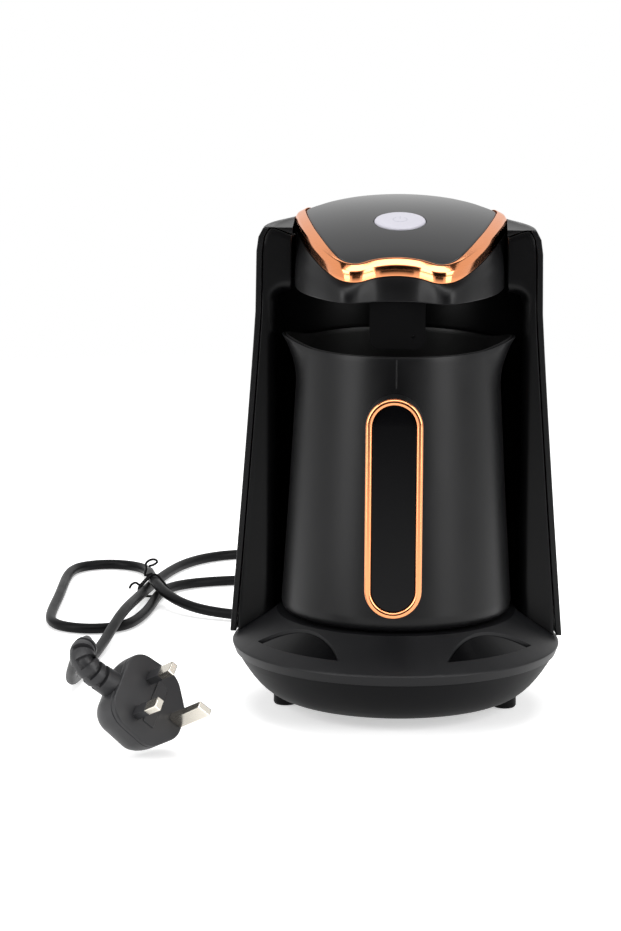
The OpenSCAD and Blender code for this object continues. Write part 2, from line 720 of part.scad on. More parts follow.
module terminal_block() {
    color([0.85, 0.85, 0.8]) at_axis() difference() {
        translate([-12, 46.5, tub_bottom_z + tub_t]) cube([24, 9, 14]);
        for (i = [-1:1]) translate([i * 7.5, 45, gland_z]) rotate([-90, 0, 0]) cylinder(r = 1.6, h = 20);
        for (i = [-1:1]) translate([i * 7.5, 51, tub_bottom_z + 10]) cylinder(r = 2, h = 20);
    }
}

socket_w = 36;
socket_h = 17;
socket_z = 62;
socket_y = 62.4;
pin_z = socket_z;
PIN_X = [-10, 0, 10];
pin_r = 2;
pin_l = 11;
contact_r = 2.7;
contact_back = 13.6;
contact_tail = 18;
tail_y = socket_y + contact_tail - 0.9; // where a wire meets the contact's tail
module pot_socket() {
    color([0.12, 0.12, 0.12]) at_axis() difference() {
        union() {
            translate([-socket_w / 2, socket_y, socket_z - socket_h / 2]) cube([socket_w, 16, socket_h]);
            translate([-socket_w / 2 - 3, cavity_r + shell_t + 0.9, socket_z - socket_h / 2 - 3])
                cube([socket_w + 6, 2.4, socket_h + 6]);
        }
        for (x = PIN_X) translate([x, socket_y - 1, pin_z]) rotate([-90, 0, 0]) {
            cylinder(r = contact_r, h = contact_back + 1);
            cylinder(r = 1, h = 30);
        }
    }
}
module socket_contacts() {
    // sleeves that grip the pins, each with a tail for its wire
    color([0.8, 0.65, 0.3]) at_axis() for (x = PIN_X) translate([x, socket_y, pin_z]) rotate([-90, 0, 0]) difference() {
        union() {
            translate([0, 0, 3]) cylinder(r = contact_r, h = contact_back - 3);
            translate([0, 0, contact_back - 0.5]) cylinder(r = 1, h = contact_tail - contact_back + 0.5);
        }
        translate([0, 0, 2]) cylinder(r = pin_r + 0.1, h = contact_back - 3);
    }
}

// Wires: lead to terminal block, block to board, board to socket, and the ribbon up to the head
module wire(points, d) { round_tube(open_path(points, 3), d, 8); }
module wiring() {
    color([0.5, 0.2, 0.15]) at_axis() for (i = [-1:1]) {
        // cores of the lead, to the terminal block
        wire([[i * 1.9, gland_in_y - 0.5, gland_z], [i * 3, gland_in_y - 2, gland_z], [i * 6.6, gland_in_y - 4.4, gland_z],
              [i * 7.5, gland_in_y - 6.2, gland_z]], 1.6);
        // terminal block to board
        wire([[i * 7.5, 46.2, gland_z + 1], [i * 7.3, 45, gland_z + 1.6], [i * 6, 42.6, gland_z + 1.6]], 1.6);
        // board to the pot's socket
        wire([[PIN_X[i + 1], tail_y, pin_z - 1.1], [PIN_X[i + 1], tail_y, pin_z - 5],
              [PIN_X[i + 1], tail_y, pin_z - 9.5], [i * 7, tail_y - 2.5, 47], [i * 5, 72, 41.5],
              [i * 5, 69.5, 37.5], [i * 5, 63, 32.5], [i * 6 + 3, 52, 28],
              [i * 6 + 3, 44, 24], [i * 6 + 3, 42.4, parts_z + 0.2]], 1.8);
    }
    // lead up to the control board
    color([0.6, 0.6, 0.6]) at_axis()
        wire([[-33, 30, parts_z + 0.2], [-33, 33, 26], [-29, 54, 32], [ribbon_x, ribbon_y - 0.6, 36],
              [ribbon_x, ribbon_y, 44], [ribbon_x, ribbon_y, 54], [ribbon_x, ribbon_y, 100], [ribbon_x, ribbon_y - 3, 160], [-16, 67, 205],
              [-7, 68, 218], [-6, 64, head_z + 8], [-6, 50, head_z + 9], [-10, 36, head_z + 16],
              [-10, 31, head_z + 20.6]], 2.4);
}

// ---------- pot ----------
foot_round = 5.5;
foot_z = seat_z + seat_gap;
function pot_r(z) =
    let (u = (z - foot_z - foot_round) / (rim_z - foot_z - foot_round))
    u < 0 ? pot_foot_r - foot_round * (1 - sqrt(max(0, 1 - u * u * pow((rim_z - foot_z - foot_round) / foot_round, 2))))
          : pot_foot_r + (pot_rim_r - pot_foot_r) * u - 1.4 * sin(180 * u) * 0.2;
// How much of the pouring lip there is at angle a and height z
lip_spread = 15;
lip_h = 22;
function lip_here(a, z) =
    let (d = min(abs(((a % 180) + 180) % 180), 180 - abs(((a % 180) + 180) % 180)),
         up = max(0, (z - rim_z + lip_h) / lip_h))
    exp(-pow(d / lip_spread, 2)) * up * up;
POT_ANGLES = 72;
POT_LEVELS = [0, 1.5, 3.4, 5.5, 34, 70, 104, 120, 128, 134, 138.5, 1000];
function pot_point(a, h, inset) =
    let (full = rim_z - foot_z,
         z = foot_z + min(h, full),
         lip = lip_here(a, z),
         zz = z + lip * lip_rise,
         r = pot_r(z) + lip * lip_out - inset)
    [r * cos(a), r * sin(a), zz];
function levels_above(h) = concat([h], [for (l = POT_LEVELS) if (l > h) l]);

module pot_wall(out, inn, from_h) {
    lv = levels_above(from_h);
    ring_solid([for (k = [0:POT_ANGLES - 1])
        let (a = 360 * k / POT_ANGLES)
        concat([for (h = lv) pot_point(a, h, out)], [for (i = [len(lv) - 1:-1:0]) pot_point(a, lv[i], inn)])]);
}

module pot_plug_space(grow) {
    translate([-plug_w / 2 - grow, 30, pin_z - plug_h / 2 - grow]) cube([plug_w + 2 * grow, 40, plug_h + 2 * grow]);
}
plug_w = 28;
plug_h = 13;
HANDLE_STEMS = [154, 84];
stem_w = 20;
stem_h = 14;
module pot_body() {
    color([0.11, 0.11, 0.11]) at_axis() difference() {
        pot_wall(0, pot_t, 0);
        pot_plug_space(0.1);
        for (z = HANDLE_STEMS) translate([0, 0, z]) rotate([90, 0, 0]) cylinder(r = screw_r, h = 80);
    }
}

liner_gap = 0.25;
function pot_ring(h, inset) = [for (k = [0:POT_ANGLES - 1]) pot_point(360 * k / POT_ANGLES, h, inset)];
// Steel cup inside the outer wall: up its outside, over the rim and down its inside
module pot_liner() {
    floor_h = liner_floor_z - foot_z;
    outside = levels_above(floor_h);
    inside = levels_above(floor_h + liner_t);
    color([0.35, 0.35, 0.36]) at_axis() bar_solid(concat(
        [for (h = outside) pot_ring(h, pot_t + liner_gap)],
        [for (i = [len(inside) - 1:-1:0]) pot_ring(inside[i], pot_t + liner_gap + liner_t)]));
}

cover_r = pot_foot_r - foot_round - pot_t - 0.3;
cover_t = 2;
module pot_base_cover() {
    color([0.1, 0.1, 0.1]) at_axis() difference() {
        union() {
            translate([0, 0, foot_z]) cylinder(r = cover_r, h = cover_t);
            for (a = COVER_SCREWS) rotate([0, 0, a]) translate([cover_screw_r, 0, foot_z]) cylinder(r = 4, h = 8);
        }
        for (a = COVER_SCREWS) rotate([0, 0, a]) translate([cover_screw_r, 0, foot_z - 1]) {
            cylinder(r = 1.7, h = 20);
            cylinder(r = 3.2, h = 3.4);
        }
    }
}
COVER_SCREWS = [30, 150, 270];
cover_screw_r = 42;
heater_z = liner_floor_z - 3;
module heater_plate() {
    color([0.75, 0.75, 0.76]) at_axis() difference() {
        union() {
            translate([0, 0, heater_z]) cylinder(r = 48, h = liner_floor_z - heater_z);
            for (a = COVER_SCREWS) rotate([0, 0, a]) translate([cover_screw_r, 0, foot_z + 8.2])
                cylinder(r = 3.4, h = heater_z - foot_z - 8);
        }
        for (a = COVER_SCREWS) rotate([0, 0, a]) translate([cover_screw_r, 0, foot_z + 7]) cylinder(r = screw_r, h = 10);
    }
}
module pot_base_screws() {
    color("silver") at_axis() for (a = COVER_SCREWS) rotate([0, 0, a]) translate([cover_screw_r, 0, foot_z + 0.4]) {
        cylinder(r = 2.8, h = 2);
        translate([0, 0, 2]) cylinder(r = screw_r, h = 14);
    }
}
element_r = 30;
element_d = 6;
ELEMENT = concat(
    [[element_r * cos(120), element_r * sin(120), heater_z - element_d / 2 - 7],
     [element_r * cos(120), element_r * sin(120), heater_z - element_d / 2 - 3]],
    [for (a = [125:10:415]) [element_r * cos(a), element_r * sin(a), heater_z - element_d / 2]],
    [[element_r * cos(60), element_r * sin(60), heater_z - element_d / 2 - 3],
     [element_r * cos(60), element_r * sin(60), heater_z - element_d / 2 - 7]]);
module heating_element() { color([0.5, 0.48, 0.45]) at_axis() round_tube(ELEMENT, element_d, 10); }
module thermostat() {
    color([0.3, 0.3, 0.32]) at_axis() {
        translate([0, 0, heater_z - 5]) cylinder(r = 8, h = 5);
        translate([0, 0, heater_z - 8]) cylinder(r = 5, h = 3);
    }
}
module thermal_cutout() {
    color([0.8, 0.8, 0.75]) at_axis() translate([-7, -18, heater_z - 4]) rotate([0, 90, 0]) cylinder(r = 4, h = 14);
}
module pot_plug() {
    color([0.12, 0.12, 0.12]) at_axis() difference() {
        translate([-plug_w / 2, 44, pin_z - plug_h / 2]) cube([plug_w, 15.6, plug_h]);
        for (x = PIN_X) translate([x, 40, pin_z]) rotate([-90, 0, 0]) cylinder(r = pin_r, h = 30);
    }
}
module pot_pins() {
    color([0.8, 0.65, 0.3]) at_axis() for (x = PIN_X) translate([x, 41, pin_z]) rotate([-90, 0, 0])
        cylinder(r = pin_r, h = socket_y + pin_l - 41);
}

// ---------- handle ----------
handle_h = handle_top_z - handle_bottom_z;
handle_mid_z = (handle_top_z + handle_bottom_z) / 2;
module handle_slab(w, h, y0, y1) {
    // racetrack slab from y0 to y1, in front of the axis
    translate([0, -y0, handle_mid_z]) rotate([90, 0, 0]) linear_extrude(y1 - y0) slot_shape(w, h);
}
HANDLE_LIP = 0.4;
ring_seat = 1.6;
module handle_bar() {
    color([0.09, 0.09, 0.09]) at_axis() difference() {
        union() {
            difference() {
                handle_slab(handle_w - HANDLE_LIP, handle_h - HANDLE_LIP, handle_face_y - handle_depth, handle_face_y - ring_seat);
                handle_slab(handle_w - 2 * ring_w + 1.4, handle_h - 2 * ring_w + 1.4, handle_face_y - 3, handle_face_y + 1);
            }
            difference() {
                for (z = HANDLE_STEMS) translate([-stem_w / 2, -handle_face_y + 4, z - stem_h / 2])
                    cube([stem_w, handle_face_y - 4 - 44, stem_h]);
                // follows the pot's outside
                translate([0, 0, 60]) cylinder(r1 = pot_r(60) + CLEAR, r2 = pot_r(180) + CLEAR, h = 120);
            }
        }
        for (z = HANDLE_STEMS) translate([0, -handle_face_y - 1, z]) rotate([-90, 0, 0]) {
            cylinder(r = 1.7, h = 60);
            cylinder(r = 3.4, h = 8);
        }
    }
}
module handle_ring() {
    color([0.85, 0.48, 0.3]) at_axis() difference() {
        handle_slab(handle_w, handle_h, handle_face_y - ring_seat, handle_face_y + ring_proud);
        handle_slab(handle_w - 2 * ring_w, handle_h - 2 * ring_w, handle_face_y - 2, handle_face_y + 4);
    }
}
module handle_inlay() {
    color([0.04, 0.04, 0.045]) at_axis()
        handle_slab(handle_w - 2 * ring_w - 0.2, handle_h - 2 * ring_w - 0.2, handle_face_y - 3, handle_face_y);
}
module handle_screws() {
    color("silver") at_axis() for (z = HANDLE_STEMS) translate([0, 0, z]) rotate([90, 0, 0]) {
        translate([0, 0, handle_face_y - 7]) cylinder(r = 3, h = 2);
        translate([0, 0, pot_r(z) - pot_t + 0.1]) cylinder(r = screw_r, h = handle_face_y - 7 - pot_r(z) + pot_t);
    }
}

// ---------- mains lead ----------
boot_r = 5.6;
module cord_gland() {
    color([0.07, 0.07, 0.07]) at_axis() translate([0, gland_in_y, gland_z]) rotate([-90, 0, 0]) {
        cylinder(r = gland_bore_r - 0.1, h = gland_out_y - gland_in_y);
        translate([0, 0, gland_out_y - gland_in_y]) cylinder(r = gland_bore_r + 1.2, h = 1.6);
        translate([0, 0, gland_out_y - gland_in_y + 1.6]) cylinder(r1 = boot_r, r2 = cord_d / 2 + 0.7, h = boot_l);
    }
}

cord_start_y = gland_out_y + 1.6 + boot_l;
// Where the plug lies, and how it is turned
plug_at = [-122.1, -115.3, 31.2];
plug_turn = [43.8, -25.8, -41];
// Middle line of the plug's sleeve, which bends where the lead leaves it
SLEEVE = [for (p = [[-11, 2, 1], [-17.6, -2.4, 7], [-24.2, -6.4, 12.8], [-28.7, -7.3, 18.3], [-30.1, -2.3, 21.8],
    [-29.1, 5.2, 22.6]]) plug_at + p];
// Points of the lead from the gland to the plug
CORD = [
    [0, axis_y + cord_start_y, gland_z], [0, 124, 16.2], [-7, 144, 8], [-30, 164, 3.2], [-76, 178, 2.9],
    [-116, 184, 4.4], [-136, 208, 8.8], [-144.4, 236, 10.4], [-149.4, 262, 10.2], [-150.6, 288, 3.2],
    [-156.3, 305.3, 2.9], [-175, 313.8, 2.9], [-193.5, 305, 2.9], [-199.5, 287, 2.9], [-197.5, 229, 2.9],
    [-199.2, 170, 2.9], [-192.8, 150.2, 2.9], [-173.5, 142, 2.9], [-154.4, 150, 2.9], [-147.6, 170, 2.9],
    [-142.8, 202, 2.9], [-141.4, 236, 4], [-130, 262, 2.9], [-101, 273, 2.9], [-70, 277, 2.9], [-46, 298, 2.9],
    [-52, 336, 2.9], [-84, 350, 2.9], [-117, 340, 2.9], [-135, 312, 2.9], [-143.6, 276, 2.9], [-149.6, 236, 4],
    [-151.5, 192, 8.8], [-156.5, 150, 10.6], [-161.8, 106, 3.4], [-168, 54, 2.9], [-171, 8, 4.4],
    [-165.5, -34, 26], [-152.6, -80, 53], [-151, -109.8, 53.7]];
CORD_STEPS = 2;
// Slack line that runs near its points, and starts and ends at the first and last
function slack_at(p, i, f) = (pow(1 - f, 3) * p[i - 1] + (3 * pow(f, 3) - 6 * f * f + 4) * p[i]
    + (-3 * pow(f, 3) + 3 * f * f + 3 * f + 1) * p[i + 1] + pow(f, 3) * p[i + 2]) / 6;
function slack_path(c, steps) =
    let (n = len(c), p = concat([2 * c[0] - c[1]], c, [2 * c[n - 1] - c[n - 2]]))
    concat([for (i = [1:n - 1], k = [0:steps - 1]) slack_at(p, i, k / steps)], [c[n - 1]]);
module mains_cord() { color([0.06, 0.06, 0.06]) round_tube(slack_path(CORD, CORD_STEPS), cord_d, 10); }

// Twisted wire tie round the three strands
tie_t = 0.4;
tie_in_r = 3.6;
module tie_loop(r) {
    hull() {
        for (x = [-149, -139.2]) translate([x, tie_in_r + tie_t]) circle(r = r, $fn = 32);
        translate([-143.9, 10]) circle(r = r, $fn = 32);
    }
}
module cord_tie() {
    color([0.03, 0.03, 0.03]) translate([0, 236.8, 0]) rotate([90, 0, 0]) linear_extrude(2) difference() {
        tie_loop(tie_in_r + tie_t);
        tie_loop(tie_in_r);
    }
}

// Plug: pins point along its x, the lead leaves along its z
module plug_frame() { translate(plug_at) rotate(plug_turn) children(); }
pin_pitch = 22.2;
module plug_body() {
    color([0.06, 0.06, 0.06]) plug_frame() union() {
        rotate([0, -90, 0]) linear_extrude(14) plug_face(0);
        translate([-14, 0, 0]) rotate([0, -90, 0]) linear_extrude(5) plug_face(-3);
    }
    color([0.06, 0.06, 0.06]) round_tube(open_path(SLEEVE, 2), 12, 16);
}
// Face outline in the plug's own plane: x of the sketch is along the lead
module plug_face(grow) {
    hull() {
        for (s = [-1, 1]) {
            translate([8, s * 14.5]) circle(r = 7 + grow, $fn = 32);
            translate([-9, s * 15.5]) circle(r = 7 + grow, $fn = 32);
            translate([-21, s * 8]) circle(r = 7 + grow, $fn = 32);
        }
    }
}
live_pin = [17.7, 6.3, 4];
earth_pin = [22.7, 8, 4];
module plug_pins() {
    color([0.8, 0.78, 0.7]) plug_frame() {
        for (s = [-1, 1]) translate([9, s * pin_pitch / 2 - live_pin[1] / 2, -live_pin[2] / 2])
            cube([live_pin[0] - 9, live_pin[1], live_pin[2]]);
        translate([0, -earth_pin[2] / 2, -pin_pitch - earth_pin[1] / 2]) cube([earth_pin[0], earth_pin[2], earth_pin[1]]);
    }
}
module plug_sleeves() {
    color([0.05, 0.05, 0.05]) plug_frame()
        for (s = [-1, 1]) translate([0, s * pin_pitch / 2 - live_pin[1] / 2, -live_pin[2] / 2])
            cube([9, live_pin[1], live_pin[2]]);
}
module fuse_cover() {
    color([0.09, 0.09, 0.09]) plug_frame() translate([0, -12.5, -11.5]) cube([0.6, 25, 7]);
}

base_tub();
base_deck();
deck_inlay_left();
deck_inlay_right();
feet();
base_screws();
side_panel_left();
side_panel_right();
rear_cover();
front_shell();
shoulder_cap();
head_shell();
head_base();
head_trim();
lid_panel();
button_guide();
button_cap();
switch_plunger();
switch_body();
control_board();
board_screws();
button_leds();
buzzer();
sensor_housing();
foam_sensor();
power_board();
power_screws();
relay();
transformer();
capacitor();
mains_fuse();
terminal_block();
pot_socket();
socket_contacts();
wiring();
pot_body();
pot_liner();
pot_base_cover();
heater_plate();
heating_element();
thermostat();
thermal_cutout();
pot_plug();
pot_pins();
handle_bar();
handle_ring();
handle_inlay();
handle_screws();
pot_base_screws();
cord_gland();
mains_cord();
cord_tie();
plug_body();
plug_pins();
plug_sleeves();
fuse_cover();
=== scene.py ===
"""Dresses the one-pot coffee maker: satin black housing, glossy lid, copper trims, pot and mains lead."""

import json
import math
from contextlib import contextmanager

import bmesh
import bpy
from mathutils import Matrix, Vector

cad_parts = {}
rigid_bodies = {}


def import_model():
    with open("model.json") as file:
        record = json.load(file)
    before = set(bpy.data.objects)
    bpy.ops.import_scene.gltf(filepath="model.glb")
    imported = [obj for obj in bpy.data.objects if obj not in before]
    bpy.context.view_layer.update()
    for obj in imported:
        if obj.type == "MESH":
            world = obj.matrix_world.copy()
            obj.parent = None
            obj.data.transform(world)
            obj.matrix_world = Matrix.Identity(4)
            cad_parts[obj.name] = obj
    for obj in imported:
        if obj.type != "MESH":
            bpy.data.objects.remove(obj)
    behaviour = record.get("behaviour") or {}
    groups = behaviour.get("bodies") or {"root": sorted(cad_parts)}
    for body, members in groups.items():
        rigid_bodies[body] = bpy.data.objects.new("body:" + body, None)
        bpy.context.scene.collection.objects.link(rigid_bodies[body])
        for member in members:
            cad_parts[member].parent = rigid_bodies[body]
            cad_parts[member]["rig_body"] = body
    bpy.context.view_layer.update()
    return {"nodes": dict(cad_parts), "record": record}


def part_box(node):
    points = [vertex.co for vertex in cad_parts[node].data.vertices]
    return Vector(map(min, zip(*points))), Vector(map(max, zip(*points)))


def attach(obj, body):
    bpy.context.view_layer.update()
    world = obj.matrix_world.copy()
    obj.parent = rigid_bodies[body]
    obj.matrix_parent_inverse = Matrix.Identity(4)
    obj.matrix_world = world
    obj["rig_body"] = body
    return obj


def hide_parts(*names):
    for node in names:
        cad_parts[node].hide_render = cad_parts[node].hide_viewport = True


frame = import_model()

MM = 0.001

# The machine is round about one upright axis: the middle of its deck
deck_low, deck_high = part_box("base_deck")
AXIS_Y = (deck_low.y + deck_high.y) / 2 / MM

# ---------------------------------------------------------------- camera

LOOK_AT = Vector((0, AXIS_Y + 2, 120))
CAMERA_DISTANCE = 2150
CAMERA_TURN = 1.0
CAMERA_HEIGHT = 11.2
CAMERA_ROLL = -0.6
PIXELS_PER_MM = 1.93
SENSOR_W = 36
PICTURE = (621, 931)
LOOK_AT_PIXEL = (397.4, 475.0)


def new_object(name, data):
    """An object in the scene."""
    obj = bpy.data.objects.new(name, data)
    bpy.context.scene.collection.objects.link(obj)
    return obj


def set_camera():
    """Long lens from in front and a little above."""
    turn, height, roll = (math.radians(a) for a in (CAMERA_TURN, CAMERA_HEIGHT, CAMERA_ROLL))
    back = Vector((math.sin(turn) * math.cos(height), -math.cos(turn) * math.cos(height), math.sin(height)))
    level = Vector((0, 0, 1)).cross(back).normalized()
    upright = back.cross(level)
    right = level * math.cos(roll) - upright * math.sin(roll)
    up = level * math.sin(roll) + upright * math.cos(roll)
    lens = bpy.data.cameras.new("camera")
    lens.sensor_fit = "HORIZONTAL"
    lens.sensor_width = SENSOR_W
    lens.lens = SENSOR_W * CAMERA_DISTANCE * PIXELS_PER_MM / PICTURE[0]
    lens.shift_x = (PICTURE[0] / 2 - LOOK_AT_PIXEL[0]) / PICTURE[0]
    lens.shift_y = (LOOK_AT_PIXEL[1] - PICTURE[1] / 2) / PICTURE[0]
    lens.clip_start = 0.1
    lens.clip_end = 50
    camera = new_object("camera", lens)
    place = (LOOK_AT + back * CAMERA_DISTANCE) * MM
    camera.matrix_world = Matrix((right, up, back)).transposed().to_4x4()
    camera.matrix_world.translation = place
    bpy.context.scene.camera = camera


# ---------------------------------------------------------------- node groups and materials


def new_group(name, inputs, outputs):
    """An empty shader node group with named sockets, and its two end nodes."""
    group = bpy.data.node_groups.new(name, "ShaderNodeTree")
    for label, kind, value in inputs:
        socket = group.interface.new_socket(label, in_out="INPUT", socket_type=kind)
        if value is not None:
            socket.default_value = value
    for label, kind in outputs:
        group.interface.new_socket(label, in_out="OUTPUT", socket_type=kind)
    return group, group.nodes.new("NodeGroupInput"), group.nodes.new("NodeGroupOutput")


def noise(group, vector, scale, detail=3.0, rough=0.55):
    """A noise texture whose scale is a number or a socket."""
    node = group.nodes.new("ShaderNodeTexNoise")
    node.inputs["Detail"].default_value = detail
    node.inputs["Roughness"].default_value = rough
    group.links.new(vector, node.inputs["Vector"])
    if isinstance(scale, (int, float)):
        node.inputs["Scale"].default_value = scale
    else:
        group.links.new(scale, node.inputs["Scale"])
    return node.outputs["Fac"]


def spread(group, value, low, high, out_low=0.0, out_high=1.0):
    """Stretches the part of a value between low and high over a new range."""
    node = group.nodes.new("ShaderNodeMapRange")
    node.inputs["From Min"].default_value = low
    node.inputs["From Max"].default_value = high
    node.inputs["To Min"].default_value = out_low
    node.inputs["To Max"].default_value = out_high
    group.links.new(value, node.inputs["Value"])
    return node.outputs["Result"]


def maths(group, what, a, b):
    """One sum on two values, each a number or a socket."""
    node = group.nodes.new("ShaderNodeMath")
    node.operation = what
    for i, value in enumerate((a, b)):
        if isinstance(value, (int, float)):
            node.inputs[i].default_value = value
        else:
            group.links.new(value, node.inputs[i])
    return node.outputs["Value"]


def moulded_grain():
    """Spark-eroded grain of a moulding: fine pits, and a slow drift of tone from the tool."""
    group, inlet, outlet = new_group(
        "moulded grain",
        [("Vector", "NodeSocketVector", None), ("Grain Scale", "NodeSocketFloat", 2600.0),
         ("Drift Scale", "NodeSocketFloat", 28.0)],
        [("Height", "NodeSocketFloat"), ("Drift", "NodeSocketFloat")])
    pits = noise(group, inlet.outputs["Vector"], inlet.outputs["Grain Scale"], 2.0, 0.6)
    drift = noise(group, inlet.outputs["Vector"], inlet.outputs["Drift Scale"], 3.0, 0.5)
    group.links.new(pits, outlet.inputs["Height"])
    group.links.new(spread(group, drift, 0.3, 0.7), outlet.inputs["Drift"])
    return group


def handling_film():
    """Soft smudges and fine wiping lines that a cloth leaves on polished plastic and metal."""
    group, inlet, outlet = new_group(
        "handling film",
        [("Vector", "NodeSocketVector", None), ("Smudge Scale", "NodeSocketFloat", 35.0),
         ("Wipe Scale", "NodeSocketFloat", 260.0)],
        [("Film", "NodeSocketFloat"), ("Height", "NodeSocketFloat")])
    patches = noise(group, inlet.outputs["Vector"], inlet.outputs["Smudge Scale"], 4.0)
    smudges = spread(group, patches, 0.42, 0.72)
    squeeze = group.nodes.new("ShaderNodeMapping")
    squeeze.inputs["Scale"].default_value = (1.0, 0.12, 0.35)
    group.links.new(inlet.outputs["Vector"], squeeze.inputs["Vector"])
    wipes = noise(group, squeeze.outputs["Vector"], inlet.outputs["Wipe Scale"], 4.0, 0.7)
    film = maths(group, "ADD", maths(group, "MULTIPLY", smudges, 0.7), maths(group, "MULTIPLY", wipes, 0.3))
    group.links.new(film, outlet.inputs["Film"])
    group.links.new(wipes, outlet.inputs["Height"])
    return group


def brushed_lines():
    """Lines that a brush or a lathe leaves on metal, drawn out along one direction."""
    group, inlet, outlet = new_group(
        "brushed lines",
        [("Vector", "NodeSocketVector", None), ("Stretch", "NodeSocketVector", (1.0, 1.0, 40.0)),
         ("Line Scale", "NodeSocketFloat", 220.0)],
        [("Height", "NodeSocketFloat"), ("Tone", "NodeSocketFloat")])
    product = group.nodes.new("ShaderNodeVectorMath")
    product.operation = "MULTIPLY"
    group.links.new(inlet.outputs["Vector"], product.inputs[0])
    group.links.new(inlet.outputs["Stretch"], product.inputs[1])
    lines = noise(group, product.outputs["Vector"], inlet.outputs["Line Scale"], 5.0, 0.7)
    group.links.new(lines, outlet.inputs["Height"])
    group.links.new(spread(group, lines, 0.3, 0.7), outlet.inputs["Tone"])
    return group


GRAIN = moulded_grain()
FILM = handling_film()
BRUSH = brushed_lines()


class Finish:
    """A material under construction: its tree, its Principled shader and the object's own coordinates."""

    def __init__(self, name, colour, roughness, **sockets):
        self.material = bpy.data.materials.new(name)
        self.material.use_nodes = True
        self.material.diffuse_color = (*colour, 1)
        self.tree = self.material.node_tree
        self.nodes = self.tree.nodes
        self.links = self.tree.links
        self.shader = self.nodes["Principled BSDF"]
        self.shader.inputs["Base Color"].default_value = (*colour, 1)
        self.shader.inputs["Roughness"].default_value = roughness
        for label, value in sockets.items():
            self.shader.inputs[label.replace("_", " ")].default_value = value
        self.colour = colour
        self.coordinates = self.nodes.new("ShaderNodeTexCoord").outputs["Object"]

    def use(self, group, **values):
        """Places a node group, fed with the object's coordinates."""
        node = self.nodes.new("ShaderNodeGroup")
        node.node_tree = group
        self.links.new(self.coordinates, node.inputs["Vector"])
        for label, value in values.items():
            node.inputs[label.replace("_", " ")].default_value = value
        return node

    def vary_roughness(self, value, low, high):
        """Spreads a value from 0 to 1 over a range of roughness."""
        self.links.new(spread(self, value, 0.0, 1.0, low, high), self.shader.inputs["Roughness"])

    def vary_colour(self, value, low, high):
        """Blends between two tints of the colour, each a factor on it."""
        mix = self.nodes.new("ShaderNodeMix")
        mix.data_type = "RGBA"
        self.links.new(value, mix.inputs["Factor"])
        for socket, factor in ((mix.inputs[6], low), (mix.inputs[7], high)):
            socket.default_value = (*(min(1.0, c * factor) for c in self.colour), 1)
        self.links.new(mix.outputs[2], self.shader.inputs["Base Color"])

    def bump(self, height, distance, strength):
        """Fine relief from a height, which is distance metres deep."""
        node = self.nodes.new("ShaderNodeBump")
        node.inputs["Distance"].default_value = distance
        node.inputs["Strength"].default_value = strength
        self.links.new(height, node.inputs["Height"])
        self.links.new(node.outputs["Normal"], self.shader.inputs["Normal"])


def moulded(name, colour, roughness, grain=2600.0, depth=0.00002, tone=0.12, gloss=0.5):
    """Moulded plastic with a fine grain; gloss is how much it mirrors, 0.5 being bare plastic."""
    finish = Finish(name, colour, roughness, IOR=1.5, Specular_IOR_Level=gloss)
    marks = finish.use(GRAIN, Grain_Scale=grain)
    finish.vary_roughness(marks.outputs["Drift"], roughness - 0.03, roughness + 0.04)
    finish.vary_colour(marks.outputs["Drift"], 1 - tone, 1 + tone)
    finish.bump(marks.outputs["Height"], depth, 0.5)
    return finish.material


def polished(name, colour, roughness, gloss=0.5):
    """Polished plastic: a deep gloss with a trace of handling."""
    finish = Finish(name, colour, roughness, IOR=1.5, Specular_IOR_Level=gloss)
    marks = finish.use(FILM)
    finish.vary_roughness(marks.outputs["Film"], roughness, roughness + 0.05)
    finish.vary_colour(marks.outputs["Film"], 0.9, 1.15)
    finish.bump(marks.outputs["Height"], 0.000004, 0.15)
    return finish.material


def plated(name, colour, roughness, lines=(1.0, 1.0, 30.0), depth=0.000006):
    """Plated or lacquered metal with a faint brushing under the gloss."""
    finish = Finish(name, colour, roughness, Metallic=1.0)
    marks = finish.use(BRUSH, Stretch=lines)
    film = finish.use(FILM, Smudge_Scale=60.0)
    finish.vary_roughness(film.outputs["Film"], roughness - 0.02, roughness + 0.07)
    finish.vary_colour(marks.outputs["Tone"], 0.94, 1.05)
    finish.bump(marks.outputs["Height"], depth, 0.25)
    return finish.material


def rubbery(name, colour, roughness, grain=1800.0, gloss=0.3):
    """Soft PVC or rubber: a dull skin with a fine tooth and a faint sheen."""
    finish = Finish(name, colour, roughness, IOR=1.48, Specular_IOR_Level=gloss)
    marks = finish.use(GRAIN, Grain_Scale=grain, Drift_Scale=60.0)
    finish.vary_roughness(marks.outputs["Drift"], roughness - 0.05, roughness + 0.06)
    finish.vary_colour(marks.outputs["Drift"], 0.8, 1.25)
    finish.bump(marks.outputs["Height"], 0.00004, 0.6)
    return finish.material


